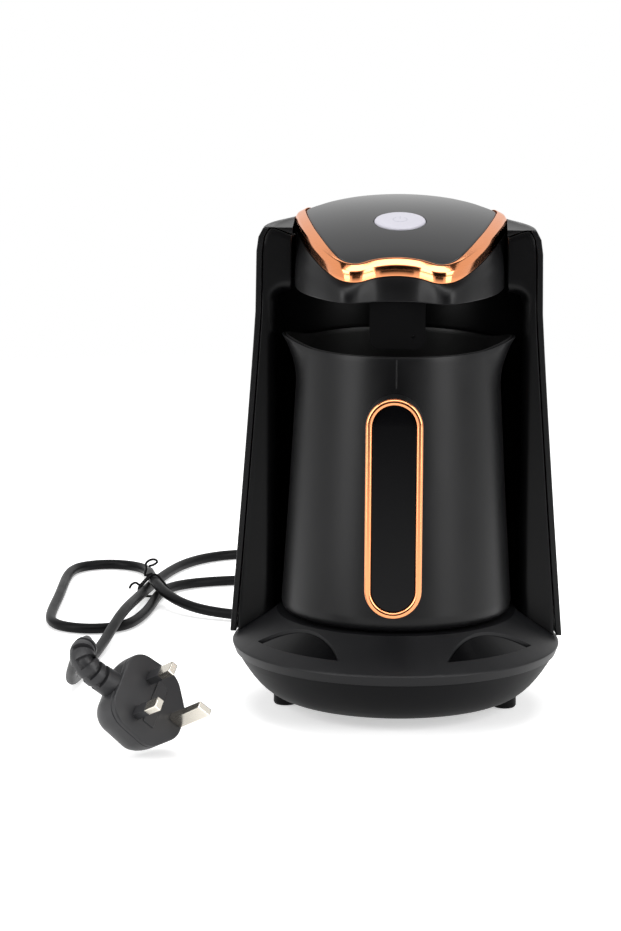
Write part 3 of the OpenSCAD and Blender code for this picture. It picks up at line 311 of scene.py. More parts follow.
MATERIALS = {
    "matte_black": moulded("satin black plastic", (0.003, 0.003, 0.0034), 0.35, gloss=0.21),
    # the same satin black, darkened as painted shade for the cavity wall and the wings' faces
    "shell_black_painted_shade": moulded("satin black shell with painted shade", (0.002, 0.002, 0.0023), 0.33, gloss=0.15),
    # the same black plastic made darker and duller: painted shade for the parts deep in the cavity
    "painted_shade_black": moulded("black plastic with painted shade", (0.0015, 0.0015, 0.0017), 0.5, gloss=0.06),
    "deck_black": moulded("satin black deck", (0.005, 0.005, 0.0058), 0.42, gloss=0.22),
    "tub_black": moulded("fine-grained black tub", (0.0035, 0.0035, 0.004), 0.46, gloss=0.07),
    "gloss_black": polished("polished black plastic", (0.003, 0.003, 0.0038), 0.08, gloss=0.31),
    "gloss_inlay": polished("polished black inlay", (0.002, 0.002, 0.0024), 0.12, gloss=0.11),
    "copper": plated("copper plating", (0.82, 0.31, 0.135), 0.11),
    "button_white": moulded(
        "pale button plastic", (0.455, 0.445, 0.50), 0.38,
        grain=2200.0, depth=0.000006, tone=0.03, gloss=0.4),
    "button_mark": moulded(
        "button mark ink", (0.37, 0.365, 0.42), 0.4, grain=2200.0, depth=0.000004, tone=0.04, gloss=0.4),
    "lead_black": rubbery("black lead sheath", (0.003, 0.003, 0.0034), 0.42, gloss=0.1),
    "plug_black": moulded(
        "plug moulding", (0.022, 0.022, 0.0235), 0.42, grain=1700.0, depth=0.00003, gloss=0.3),
    "steel": plated("brushed steel", (0.58, 0.57, 0.55), 0.28),
    "aluminium": plated("turned aluminium", (0.76, 0.76, 0.77), 0.3, lines=(30.0, 30.0, 1.0)),
    "pin_brass": plated("nickel-plated brass", (0.74, 0.70, 0.62), 0.2),
    "non_stick": moulded(
        "non-stick coating", (0.008, 0.008, 0.008), 0.42, grain=3200.0, depth=0.00003, gloss=0.35),
    "board_green": moulded("circuit board lacquer", (0.02, 0.10, 0.045), 0.3),
    "inner_grey": moulded("grey nylon", (0.42, 0.42, 0.44), 0.45),
    "inner_black": moulded("black nylon", (0.02, 0.02, 0.022), 0.45),
    "inner_blue": moulded("blue relay case", (0.03, 0.08, 0.30), 0.35),
    "coil_yellow": moulded("coil tape", (0.60, 0.42, 0.05), 0.4),
    "switch_red": polished("red plunger", (0.50, 0.05, 0.04), 0.2),
    "led_white": polished("lamp lens", (0.85, 0.85, 0.80), 0.15),
    "wire_red": rubbery("wire insulation", (0.35, 0.05, 0.04), 0.45),
}
SLOT_OF = {part["node"]: part["material_slot"] for part in frame["record"]["subparts"]}


def dress(obj, key):
    """Gives an object one material in all its slots."""
    obj.data.materials.clear()
    obj.data.materials.append(MATERIALS[key])


# ---------------------------------------------------------------- mesh helpers


def at(x, y, z):
    """A point given in millimetres from the machine's axis."""
    return Vector((x, y + AXIS_Y, z)) * MM


def ramp(value, start, end):
    """0 up to start, 1 from end on, and a straight rise between them."""
    return min(1.0, max(0.0, (value - start) / (end - start)))


def grid_faces(rows, columns, close_rows, close_columns):
    """Four-sided faces between rows of points."""
    faces = []
    for i in range(rows if close_rows else rows - 1):
        for j in range(columns if close_columns else columns - 1):
            i2, j2 = (i + 1) % rows, (j + 1) % columns
            faces.append((i * columns + j, i2 * columns + j, i2 * columns + j2, i * columns + j2))
    return faces


def bar_faces(rows, columns):
    """Faces of a bar: its sides and its two flat ends."""
    last = (rows - 1) * columns
    ends = [tuple(range(columns)), tuple(range(last, last + columns))[::-1]]
    return grid_faces(rows, columns, False, True) + ends


@contextmanager
def opened(mesh):
    """The mesh opened for editing, and written back afterwards."""
    work = bmesh.new()
    work.from_mesh(mesh)
    yield work
    work.to_mesh(mesh)
    work.free()


def shade(mesh, crease):
    """Smooth shading up to the crease angle."""
    mesh.shade_smooth()
    mesh.set_sharp_from_angle(angle=math.radians(crease))


def apply_modifiers(piece):
    """Puts what a piece's modifiers make of it into its own mesh."""
    bpy.context.view_layer.update()
    mesh = bpy.data.meshes.new_from_object(piece.evaluated_get(bpy.context.evaluated_depsgraph_get()))
    piece.modifiers.clear()
    piece.data = mesh


def enrol(piece, material, body, stands_for=()):
    """Gives a piece its finish and its body, and hides the CAD nodes that it takes the place of."""
    dress(piece, material)
    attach(piece, body)
    if stands_for:
        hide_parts(*stands_for)


def add_piece(name, points, faces, material, body, stands_for=(), crease=35):
    """A new mesh piece, with its faces outward."""
    mesh = bpy.data.meshes.new(name)
    mesh.from_pydata([tuple(p) for p in points], [], faces)
    with opened(mesh) as work:
        bmesh.ops.recalc_face_normals(work, faces=work.faces)
    shade(mesh, crease)
    piece = new_object(name, mesh)
    enrol(piece, material, body, stands_for)
    return piece


def sweep(name, rows, material, body, stands_for=(), ring=False, crease=35):
    """Skin over closed sections: a ring of them, or a bar with flat ends."""
    columns = len(rows[0])
    faces = grid_faces(len(rows), columns, True, True) if ring else bar_faces(len(rows), columns)
    points = [p for row in rows for p in row]
    return add_piece(name, points, faces, material, body, stands_for, crease)


def lathe(name, profile, material, body, stands_for, place, steps=128):
    """Turns a profile of (radius, height) about its upright axis; place moves it where it sits."""
    points, faces, index = [], [], []
    for radius, height in profile:
        if radius < 1e-6:
            index.append([len(points)] * steps)
            points.append(place @ Vector((0, 0, height * MM)))
            continue
        index.append(list(range(len(points), len(points) + steps)))
        for k in range(steps):
            turn = 2 * math.pi * k / steps
            spoke = Vector((radius * MM * math.cos(turn), radius * MM * math.sin(turn), height * MM))
            points.append(place @ spoke)
    for a, b in zip(index, index[1:]):
        for k in range(steps):
            corners = [a[k], a[(k + 1) % steps], b[(k + 1) % steps], b[k]]
            # on the axis two corners are one
            corners = list(dict.fromkeys(corners))
            if len(corners) > 2:
                faces.append(tuple(corners))
    return add_piece(name, points, faces, material, body, stands_for)


LONGEST_ROUNDING = 0.45


def round_corners(corners, radius, steps):
    """A polygon whose corners are rounded; a rounding takes up a limited share of each side."""
    result = []
    count = len(corners)
    for i, corner in enumerate(corners):
        here = Vector(corner)
        before = Vector(corners[i - 1]) - here
        after = Vector(corners[(i + 1) % count]) - here
        reach = min(radius, before.length * LONGEST_ROUNDING, after.length * LONGEST_ROUNDING)
        start = here + before.normalized() * reach
        end = here + after.normalized() * reach
        for k in range(steps + 1):
            t = k / steps
            result.append(tuple(start * (1 - t) ** 2 + here * 2 * t * (1 - t) + end * t * t))
    return result


WELD = 0.000002
FLAT_ANGLE = 0.4
ROUNDING_SEGMENTS = 3


def soften(node, width, crease=30, material=None):
    """A CAD piece with its sharp edges rounded, as a mould leaves them."""
    source = frame["nodes"][node]
    mesh = source.data.copy()
    with opened(mesh) as work:
        bmesh.ops.remove_doubles(work, verts=work.verts, dist=WELD)
        bmesh.ops.dissolve_limit(
            work, angle_limit=math.radians(FLAT_ANGLE), verts=work.verts, edges=work.edges,
            use_dissolve_boundaries=False)
    shade(mesh, crease)
    piece = new_object(node + "_soft", mesh)
    rounding = piece.modifiers.new("rounding", "BEVEL")
    rounding.width = width * MM
    rounding.segments = ROUNDING_SEGMENTS
    rounding.limit_method = "ANGLE"
    rounding.angle_limit = math.radians(crease)
    rounding.use_clamp_overlap = True
    shading = piece.modifiers.new("shading", "WEIGHTED_NORMAL")
    shading.keep_sharp = True
    apply_modifiers(piece)
    enrol(piece, material or SLOT_OF[node], source["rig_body"], [node])
    return piece


def curve_point(a, b, c, d, f):
    """A point between b and c on the smooth curve through four points."""
    bend = 2 * a - 5 * b + 4 * c - d
    swing = 3 * b - a - 3 * c + d
    return 0.5 * (2 * b + (c - a) * f + bend * f * f + swing * f ** 3)


def smooth_line(points, steps, closed=False):
    """Smooth line, open or closed, through given points."""
    knots = [Vector(p) for p in points]
    # an open line starts and ends twice, and a closed one runs on into its own start
    padded = knots[-1:] + knots + knots[:2] if closed else knots[:1] + knots + knots[-1:]
    line = []
    for stretch in zip(padded, padded[1:], padded[2:], padded[3:]):
        line += [curve_point(*stretch, k / steps) for k in range(steps)]
    return line if closed else line + [knots[-1]]


def distances(line):
    """How far each point of a line lies from its start, measured along it."""
    far = [0.0]
    for a, b in zip(line, line[1:]):
        far.append(far[-1] + (b - a).length)
    return far


def outward(loop):
    """The outward direction at each point of an outline that runs anticlockwise."""
    count = len(loop)
    result = []
    for i in range(count):
        along = (loop[(i + 1) % count] - loop[i - 1]).normalized()
        result.append(Vector((along.y, -along.x)))
    return result


# ---------------------------------------------------------------- mains lead

CORD_D = 5.8
GLAND_END = 107.6
CORD_STEPS = 8
CORD = [
    (0, AXIS_Y + GLAND_END, 17), (0, 124, 16.2), (-7, 144, 8), (-30, 164, 3.2), (-76, 178, 2.9),
    (-116, 184, 4.4), (-136, 208, 8.8), (-144.4, 236, 10.4), (-149.4, 262, 10.2), (-150.6, 288, 3.2),
    (-156.3, 305.3, 2.9), (-175, 313.8, 2.9), (-193.5, 305, 2.9), (-199.5, 287, 2.9), (-197.5, 229, 2.9),
    (-199.2, 170, 2.9), (-192.8, 150.2, 2.9), (-173.5, 142, 2.9), (-154.4, 150, 2.9), (-147.6, 170, 2.9),
    (-142.8, 202, 2.9), (-141.4, 236, 4), (-130, 262, 2.9), (-101, 273, 2.9), (-70, 277, 2.9),
    (-46, 298, 2.9), (-52, 336, 2.9), (-84, 350, 2.9), (-117, 340, 2.9), (-135, 312, 2.9),
    (-143.6, 276, 2.9), (-149.6, 236, 4), (-151.5, 192, 8.8), (-156.5, 150, 10.6), (-161.8, 106, 3.4),
    (-168, 54, 2.9), (-171, 8, 4.4), (-165.5, -34, 26), (-152.6, -80, 53), (-151, -109.8, 53.7)]


def slack_line(points, steps):
    """A cubic B-spline near its points, which starts and ends at the first and last."""
    knots = [Vector(p) for p in points]
    knots = [2 * knots[0] - knots[1]] + knots + [2 * knots[-1] - knots[-2]]
    line = []
    for i in range(1, len(knots) - 2):
        a, b, c, d = knots[i - 1:i + 3]
        for k in range(steps):
            f = k / steps
            line.append(((1 - f) ** 3 * a + (3 * f ** 3 - 6 * f * f + 4) * b
                         + (-3 * f ** 3 + 3 * f * f + 3 * f + 1) * c + f ** 3 * d) / 6)
    return line + [knots[-2]]


def mains_lead(carried):
    """The round three-core lead, from the gland to the plug; the pieces that it carries are handed in but not
    used.
    """
    line = [p * MM for p in slack_line(CORD, CORD_STEPS)]
    curve = bpy.data.curves.new("mains_lead", "CURVE")
    curve.dimensions = "3D"
    curve.bevel_depth = CORD_D / 2 * MM
    curve.bevel_resolution = 6
    curve.use_fill_caps = True
    spline = curve.splines.new("POLY")
    spline.points.add(len(line) - 1)
    for point, place in zip(spline.points, line):
        point.co = (*place, 1)
    spline.use_smooth = True
    lead = new_object("mains_lead", curve)
    enrol(lead, "lead_black", "machine", ["mains_cord"])
    return lead


def frames_along(line):
    """A side and an up direction at each point of a line, turned as little as can be."""
    side = None
    result = []
    for i in range(len(line)):
        along = (line[min(i + 1, len(line) - 1)] - line[max(i - 1, 0)]).normalized()
        side = along.orthogonal() if side is None else side - along * side.dot(along)
        side.normalize()
        result.append((side.copy(), along.cross(side)))
    return result


def tube(name, line, radius, sides, material, stands_for=(), crease=40):
    """Round bar along a line in millimetres; radius gives its size from the share of the way and the turn."""
    rows = []
    lengths = distances(line)
    for place, far, (side, up) in zip(line, lengths, frames_along(line)):
        row = []
        for k in range(sides):
            turn = 2 * math.pi * k / sides
            r = radius(far / lengths[-1], turn)
            row.append((place + side * r * math.cos(turn) + up * r * math.sin(turn)) * MM)
        rows.append(row)
    return sweep(name, rows, material, "machine", stands_for, crease=crease)


PLUG_AT = Vector((-122.1, -115.3, 31.2))
PLUG_TURN = (43.8, -25.8, -41.0)
PLUG_CIRCLES = [(3, 9.5), (-9, 10.5), (-15, 3), (-15, -3), (-9, -10.5), (3, -9.5)]
PLUG_CORNER = 12.0
PLUG_SIDES = 120
# how deep each ring of the plug lies behind its face, and how far it is drawn in; a groove parts the halves
PLUG_RINGS = [
    (19.2, 6.2), (19.0, 4.6), (18.2, 3.4), (16.6, 2.2), (14.0, 1.2), (11.0, 0.5), (8.0, 0.1), (3.2, 0.0),
    (2.9, 0.35), (2.5, 0.4), (2.2, 0.05), (1.2, 0.0), (0.5, 0.15), (0.1, 0.6), (0.0, 1.2)]
SLEEVE = [(-11, 2, 1), (-17.6, -2.4, 7), (-24.2, -6.4, 12.8), (-28.7, -7.3, 18.3), (-30.1, -2.3, 21.8),
          (-29.1, 5.2, 22.6)]
SLEEVE_STEPS = 30
SLEEVE_R = 7.2
SLEEVE_TAPER = 1.2
SLEEVE_RIBS = 5
RIBS_FROM = 0.30
RIBS_LENGTH = 0.62
RIB_SHARE = 0.58
GROOVE_DEPTH = 1.9
BRIDGE_DEPTH = 0.2
BRIDGE_COSINE = 0.93
SLEEVE_END_FROM = 0.97
SLEEVE_END_ROUND = 1.6


def plug_place():
    """Where the plug lies: its pins point along its own x axis."""
    roll, pitch, yaw = (math.radians(a) for a in PLUG_TURN)
    turn = Matrix.Rotation(yaw, 4, "Z") @ Matrix.Rotation(pitch, 4, "Y")
    return Matrix.Translation(PLUG_AT) @ turn @ Matrix.Rotation(roll, 4, "X")


def widest(places, lean):
    """The place that lies farthest in a direction."""
    return Vector(max(places, key=lambda place: Vector(place).dot(lean)))


def plug_moulding():
    """Body of the plug: a rounded five-sided face with a fuller, softer back."""
    place = plug_place()
    rows = []
    for depth, inset in PLUG_RINGS:
        row = []
        for k in range(PLUG_SIDES):
            turn = 2 * math.pi * k / PLUG_SIDES
            lean = Vector((math.cos(turn), math.sin(turn)))
            z, y = widest(PLUG_CIRCLES, lean) + lean * (PLUG_CORNER - inset)
            row.append(place @ Vector((-depth, y, z)) * MM)
        rows.append(row)
    return sweep("plug_moulding", rows, "plug_black", "machine", ["plug_body"], crease=32)


def sleeve_radius(share, turn):
    """Radius of the plug's sleeve: a taper with grooves, each bridged on two sides, and a rounded end."""
    full = SLEEVE_R - SLEEVE_TAPER * share
    if share > SLEEVE_END_FROM:
        return full - SLEEVE_END_ROUND * ((share - SLEEVE_END_FROM) / (1 - SLEEVE_END_FROM)) ** 2
    rib = (share - RIBS_FROM) / RIBS_LENGTH * SLEEVE_RIBS
    if not 0 < rib < SLEEVE_RIBS or rib % 1 < RIB_SHARE:
        return full
    return full - (BRIDGE_DEPTH if abs(math.cos(turn)) > BRIDGE_COSINE else GROOVE_DEPTH)


def strain_relief():
    """Ribbed sleeve that takes the lead's bending where it leaves the plug."""
    line = smooth_line([PLUG_AT + Vector(p) for p in SLEEVE], SLEEVE_STEPS)
    return tube("plug_strain_relief", line, sleeve_radius, 48, "plug_black", crease=30)


TIE_CENTRES = [(-149, 4.4), (-139.2, 4.4), (-143.9, 10.2)]
TIE_R = 3.65
TIE_Y = 236
TIE_FROM_Y = TIE_Y - 1.6
TIE_WIRE_R = 0.7
TIE_START = 200
TIE_STEPS = 45
TIE_STEP = 10
# the last step of the first turn; the wire lies on itself from there
TIE_SECOND_TURN = 36
TIE_LIFT = 0.5
TIE_SHIFT = 3.4
TIE_END = [
    (-149.6, 238, 12.8), (-148.8, 238.6, 16.4), (-149, 238.8, 19.6), (-146.6, 238.6, 21.8),
    (-143.6, 238, 22.2), (-142.4, 237.4, 20.8), (-144.8, 237, 19.2), (-147.2, 236.8, 18.6)]
TIE_STUB_FROM = Vector((TIE_CENTRES[0][0] - 3.4, TIE_Y - 2.4, TIE_CENTRES[0][1] + 3.6))
TIE_STUB = [(0, 0, 0), (-2.2, -1.2, 1.6), (-4.4, -2.0, 0.6), (-5.6, -2.2, -1.6)]


def twist_tie():
    """Wire tie: a turn and a quarter round the three strands, with one end curled and one cut short."""
    line = []
    for k in range(TIE_STEPS + 1):
        turn = math.radians(TIE_START - TIE_STEP * k)
        lean = Vector((math.cos(turn), math.sin(turn)))
        x, z = widest(TIE_CENTRES, lean) + lean * (TIE_R + TIE_LIFT * (k > TIE_SECOND_TURN))
        line.append(Vector((x, TIE_FROM_Y + TIE_SHIFT * k / TIE_STEPS, z)))
    line = smooth_line(line + [Vector(p) for p in TIE_END], 3)
    stub = smooth_line([TIE_STUB_FROM + Vector(p) for p in TIE_STUB], 6)

    def wire(share, turn):
        return TIE_WIRE_R

    loop = tube("twist_tie", line, wire, 8, "lead_black", ["cord_tie"])
    end = tube("twist_tie_end", stub, wire, 8, "lead_black")
    return [loop, end]


# ---------------------------------------------------------------- head, trim, lid and button

CREST_Y = 64.0
CREST_Z = 259.5
CROWN_R = 310.0
HEAD_Z = 218.3
TRIM_H = 8.0
TRIM_W = 3.4
TRIM_BEVEL = 2.4
WALL_T = 2.4
LID_DROP = 0.6
LID_GAP = 0.4
LID_T = 2.4
TOP_HALF = [
    (0, -46.4), (10, -47.8), (19.5, -51.6), (26.5, -50), (32, -45), (37.4, -36), (43, -23),
    (48, -7), (51.6, 9), (54.2, 25), (54.3, 36.8), (45.8, 47.3), (35, 55.2), (19, 62.8)]
LOW_HALF = [
    (0, -47.6), (10, -48.8), (20, -54.2), (26.5, -55), (32.5, -50.5), (38.5, -43), (45.5, -31),
    (51, -16), (53.8, 3), (54.4, 24), (54.3, 36.8), (45.8, 47.3), (35, 55.2), (19, 62.8)]
HEAD_BACK_Y = 66.0
OUTLINE_STEPS = 16
WALL_STEPS = 20
WALL_UNDER_TRIM = 0.3
# how far the wall's lower edge is drawn in, and how high
WALL_FOOT_EDGE = [(0.5, 0.0), (0.12, 0.25), (0.0, 0.8)]


def crown_z(x, y, drop=0.0):
    """Height of the crowned top at a place in plan."""
    return CREST_Z - drop - (CROWN_R - math.sqrt(CROWN_R ** 2 - x * x - (y - CREST_Y) ** 2))


def head_outline(half):
    """Smooth closed outline of the head from the points of its right half."""
    left = [(-x, y) for x, y in reversed(half[1:])]
    return smooth_line(half + [(0, HEAD_BACK_Y)] + left, OUTLINE_STEPS, closed=True)


TOP_LOOP = head_outline(TOP_HALF)
LOW_LOOP = head_outline(LOW_HALF)
TOP_OUT = outward(TOP_LOOP)
LOW_OUT = outward(LOW_LOOP)


def head_wall():
    """Wall of the head: upright below, drawn in towards the trim, with a rounded lower edge outside."""
    levels = [k / WALL_STEPS for k in range(WALL_STEPS + 1)]
    rows = []
    for low, top, low_out, top_out in zip(LOW_LOOP, TOP_LOOP, LOW_OUT, TOP_OUT):
        top_z = crown_z(top.x, top.y, TRIM_H + WALL_UNDER_TRIM)
        section = []
        for inset, rise in WALL_FOOT_EDGE:
            foot = low - low_out * inset
            section.append(at(foot.x, foot.y, HEAD_Z + rise))
        for inset, order in ((0.0, levels[1:]), (WALL_T, levels[::-1])):
            foot = low - low_out * inset
            head = top - top_out * inset
            for u in order:
                place = foot + (head - foot) * u ** 3
                section.append(at(place.x, place.y, HEAD_Z + (top_z - HEAD_Z) * u))
        rows.append(section)
    return sweep("head_wall", rows, "matte_black", "machine", ["head_shell"], ring=True)


# The trim is told by the outline's listed points, counted from the front
TRIM_LAST = 11
TRIM_SIDE_W = 5.2
FLANK_FROM = 3.4
FLANK_FULL = 6.6
FLANK_THINS_FROM = 11.0
FLANK_END = 12.5
FLANK_BEVEL = 1.1
FLANK_DROP = 1.4
TRIM_ROUND = 0.5
TRIM_END_H = 0.35
TRIM_END_LENGTH = 0.8


def towards_side(k):
    """How much an outline point belongs to the trim's broad flanks: 0 in front and behind, 1 at the sides."""
    point = min(k % len(TOP_LOOP), -k % len(TOP_LOOP)) / OUTLINE_STEPS
    far = ramp(point, FLANK_FROM, FLANK_FULL)
    return far * far * (3 - 2 * far) * ramp(point, FLANK_END, FLANK_THINS_FROM)


def trim_width(k):
    """Width of the trim at an outline point."""
    return TRIM_W + (TRIM_SIDE_W - TRIM_W) * towards_side(k)


def trim_section(k):
    """Section of the trim: a steep bevel in front, which lies down into a broad flank at the sides."""
    far = towards_side(k)
    corners = [
        (0.0, 0.0), (0.0, TRIM_H - TRIM_BEVEL - far),
        (TRIM_BEVEL - FLANK_BEVEL * far, TRIM_H - FLANK_DROP * far),
        (trim_width(k), TRIM_H), (trim_width(k), 0.0)]
    return round_corners(corners, TRIM_ROUND, 3)


def copper_trim():
    """Bevelled copper band round the lid, open at the back, where it thins out."""
    count = len(TOP_LOOP)
    last = TRIM_LAST * OUTLINE_STEPS
    rows = []
    for k in range(-last, last + 1):
        place, out = TOP_LOOP[k % count], TOP_OUT[k % count]
        ease = min(1.0, (last - abs(k)) / (OUTLINE_STEPS * TRIM_END_LENGTH))
        share = TRIM_END_H + (1 - TRIM_END_H) * math.sin(ease * math.pi / 2)
        section = []
        for inset, height in trim_section(k):
            foot = place - out * inset
            drop = TRIM_H - height * share
            section.append(at(foot.x, foot.y, crown_z(foot.x, foot.y, drop)))
        rows.append(section)
    return sweep("copper_trim", rows, "copper", "machine", ["head_trim"], crease=28)


BUTTON_Y = 2.0
BUTTON_D = 26.4
BUTTON_GAP = 0.4
BUTTON_SLOPE = math.asin((CREST_Y - BUTTON_Y) / CROWN_R)
LID_STEPS = 24
LID_ROLL = 1.2
LID_RIM_T = 2.0
LID_RIM_H = LID_T + 3.0
# how far the lid's edge is drawn in, and how far it lies below the crown
LID_EDGE = [
    (LID_RIM_T, LID_RIM_H), (0.0, LID_RIM_H), (0.0, 1.0), (0.08, 0.5), (0.3, 0.17), (0.7, 0.02),
    (LID_ROLL, 0.0)]


def button_place():
    """Where the button's own axis stands on the crown."""
    centre = at(0, BUTTON_Y, crown_z(0, BUTTON_Y, LID_DROP))
    return Matrix.Translation(centre) @ Matrix.Rotation(BUTTON_SLOPE, 4, "X")


def glossy_lid():
    """Crowned glossy lid with a rolled edge, a rim below it and the button's hole."""
    count = len(TOP_LOOP)
    edge = [p - n * (trim_width(k) + LID_GAP) for k, (p, n) in enumerate(zip(TOP_LOOP, TOP_OUT))]
    middle = Vector((0, BUTTON_Y))

    def on_hole(p):
        return middle + (p - middle).normalized() * (BUTTON_D / 2 + BUTTON_GAP)

    rings = [[(p - n * inset, drop) for p, n in zip(edge, TOP_OUT)] for inset, drop in LID_EDGE]
    brink = [p - n * LID_ROLL for p, n in zip(edge, TOP_OUT)]
    for k in range(1, LID_STEPS + 1):
        rings.append([(p + (on_hole(p) - p) * (k / LID_STEPS), 0.0) for p in brink])
    rings.append([(on_hole(p), LID_T) for p in edge])
    # the underside meets the rim a lid's thickness below the crown
    rings.append([(p, LID_T) for p, _ in rings[0]])
    points = [at(p.x, p.y, crown_z(p.x, p.y, LID_DROP + drop)) for ring in rings for p, drop in ring]
    faces = grid_faces(len(rings), count, True, True)
    return add_piece("glossy_lid", points, faces, "gloss_black", "machine", ["lid_panel"])


BUTTON_SKIRT_T = 1.6
BUTTON_SKIRT_Z = -6.4
BUTTON_ROOF_Z = -2.0
STEM_R = 2.0
STEM_Z = -9.5


def start_button():
    """Pale push button with a soft edge, a skirt and the stem that meets the switch."""
    r = BUTTON_D / 2
    inside = r - BUTTON_SKIRT_T
    profile = [
        (0, 0.85), (6, 0.82), (10, 0.72), (r - 1.0, 0.5), (r - 0.4, 0.25), (r - 0.1, -0.15), (r, -0.7),
        (r, BUTTON_SKIRT_Z), (inside, BUTTON_SKIRT_Z), (inside, BUTTON_ROOF_Z), (STEM_R, BUTTON_ROOF_Z),
        (STEM_R, STEM_Z), (0, STEM_Z)]
    return lathe("start_button", profile, "button_white", "button", ["button_cap"], button_place())


MARK_R = 3.6
MARK_STROKE = 0.28
MARK_FOOT_Z = 0.74
MARK_TOP_Z = 0.87
MARK_FROM = 125
MARK_SWEEP = 290
MARK_STEPS = 48
MARK_BAR = (0.6, 4.8)


def button_mark():
    """The mark printed on the button: an open ring with a short bar in its gap."""
    section = [(-MARK_STROKE, MARK_FOOT_Z), (-MARK_STROKE, MARK_TOP_Z), (MARK_STROKE, MARK_TOP_Z),
               (MARK_STROKE, MARK_FOOT_Z)]
    points = []
    for k in range(MARK_STEPS + 1):
        turn = math.radians(MARK_FROM + MARK_SWEEP * k / MARK_STEPS)
        across, along = math.cos(turn), math.sin(turn)
        points += [Vector(((MARK_R + x) * across, (MARK_R + x) * along, z)) for x, z in section]
    faces = bar_faces(MARK_STEPS + 1, len(section))
    bar = len(points)
    points += [Vector((x, y, z)) for y in MARK_BAR for x, z in section]
    faces += [tuple(bar + i for i in face) for face in bar_faces(len(MARK_BAR), len(section))]
    place = button_place()
    points = [place @ (p * MM) for p in points]
    return add_piece("button_mark", points, faces, "button_mark", "button")


# ---------------------------------------------------------------- pot and handle

SEAT_Z = 49.5
FOOT_Z = SEAT_Z + 0.2
RIM_Z = 190.6
POT_FOOT_R = 59.6
POT_RIM_R = 51.6
FOOT_ROUND = 5.5
POT_T = 1.6
LINER_T = 0.8
LINER_GAP = 0.25
LINER_FLOOR_Z = 74.0
LIP_OUT = 8.4
LIP_RISE = 3.8
LIP_SPREAD = 15.0
LIP_H = 22.0
POT_BELLY = 0.28
POT_LEVELS = 40
RIM_STEPS = 4
# levels over the rounding at the pot's foot
FOOT_LEVELS = [0.0, 0.6, 1.5, 3.0, FOOT_ROUND]
HANDLE_W = 28.6
HANDLE_TOP_Z = 177.0
HANDLE_BOTTOM_Z = 65.6
HANDLE_FACE_Y = 93.0
HANDLE_MID_Z = (HANDLE_TOP_Z + HANDLE_BOTTOM_Z) / 2
HANDLE_H = HANDLE_TOP_Z - HANDLE_BOTTOM_Z


def pot_r(z):
    """Radius of the pot's outside at a height."""
    u = (z - FOOT_Z - FOOT_ROUND) / (RIM_Z - FOOT_Z - FOOT_ROUND)
    if u < 0:
        rise = (FOOT_Z + FOOT_ROUND - z) / FOOT_ROUND
        return POT_FOOT_R - FOOT_ROUND * (1 - math.sqrt(max(0.0, 1 - rise * rise)))
    return POT_FOOT_R + (POT_RIM_R - POT_FOOT_R) * u - POT_BELLY * math.sin(math.pi * u)


def lip_share(turn, z):
    """How much of a pouring lip there is at an angle and a height."""
    off = min(turn % 180, 180 - turn % 180)
    up = max(0.0, (z - RIM_Z + LIP_H) / LIP_H)
    return math.exp(-(off / LIP_SPREAD) ** 2) * up * up


def pot_point(turn, z, inset, lift=0.0):
    """A point of the pot's wall at an angle and a height, an inset in from its outside."""
    share = lip_share(turn, z)
    r = pot_r(z) + share * LIP_OUT - inset
    a = math.radians(turn)
    return at(r * math.cos(a), r * math.sin(a), z + share * LIP_RISE + lift)


def pot_wall_rows(outer, inner, floor, steps=180):
    """Sections of a wall of the pot, with a rounded rim, between two insets from its outside."""
    bend = floor + FOOT_LEVELS[-1]
    levels = [floor + rise for rise in FOOT_LEVELS]
    levels += [bend + (RIM_Z - bend) * k / POT_LEVELS for k in range(1, POT_LEVELS)]
    mid, half = (outer + inner) / 2, (inner - outer) / 2
    rows = []
    for k in range(steps):
        turn = 360 * k / steps
        row = [pot_point(turn, z, outer) for z in levels]
        for step in range(RIM_STEPS + 1):
            lean = math.pi * step / RIM_STEPS
            row.append(pot_point(turn, RIM_Z, mid - half * math.cos(lean), half * math.sin(lean) - half))
        rows.append(row + [pot_point(turn, z, inner) for z in reversed(levels)])
    return rows


def pot():
    """Outer wall and non-stick cup of the pot."""
    sweep("pot_wall", pot_wall_rows(0.0, POT_T, FOOT_Z), "matte_black", "pot", ["pot_body"], ring=True)
    inset = POT_T + LINER_GAP
    rows = pot_wall_rows(inset, inset + LINER_T, LINER_FLOOR_Z)
    count, columns = len(rows), len(rows[0])
    points = [p for row in rows for p in row]
    # the wall's lower edge stays open, for a floor outside and one inside
    edge = (0, columns - 1)
    faces = [f for f in grid_faces(count, columns, True, True) if not all(i % columns in edge for i in f)]
    faces.append(tuple(i * columns for i in range(count)))
    raised = len(points)
    points += [pot_point(360 * i / count, LINER_FLOOR_Z + LINER_T, inset + LINER_T) for i in range(count)]
    for i in range(count):
        after = (i + 1) % count
        faces.append((i * columns + columns - 1, after * columns + columns - 1, raised + after, raised + i))
    faces.append(tuple(range(raised, raised + count)))
    add_piece("pot_cup", points, faces, "non_stick", "pot", ["pot_liner"])


SEAM_HALF_W = 0.3
SEAM_CREST_HALF_W = 0.1
SEAM_PROUD = 0.12
SEAM_ROOT = 0.3
SEAM_FROM_Z = HANDLE_TOP_Z - 2
SEAM_TO_Z = RIM_Z - 1.2
SEAM_STEPS = 8


def pot_seam():
    """Parting line of the mould up the front of the pot, from the handle to the rim."""
    section = [
        (-SEAM_HALF_W, -SEAM_ROOT), (SEAM_HALF_W, -SEAM_ROOT), (SEAM_HALF_W, 0),
        (SEAM_CREST_HALF_W, SEAM_PROUD), (-SEAM_CREST_HALF_W, SEAM_PROUD), (-SEAM_HALF_W, 0)]
    rows = []
    for k in range(SEAM_STEPS + 1):
        z = SEAM_FROM_Z + (SEAM_TO_Z - SEAM_FROM_Z) * k / SEAM_STEPS
        rows.append([at(x, -pot_r(z) - proud, z) for x, proud in section])
    return sweep("pot_mould_seam", rows, "matte_black", "pot")


RING_W = 3.4
RING_PROUD = 1.2
RING_SEAT = 1.6
RING_LIP = 0.4
RING_FULLNESS = 0.8
RING_STEPS = 12
INLAY_GAP = 0.1
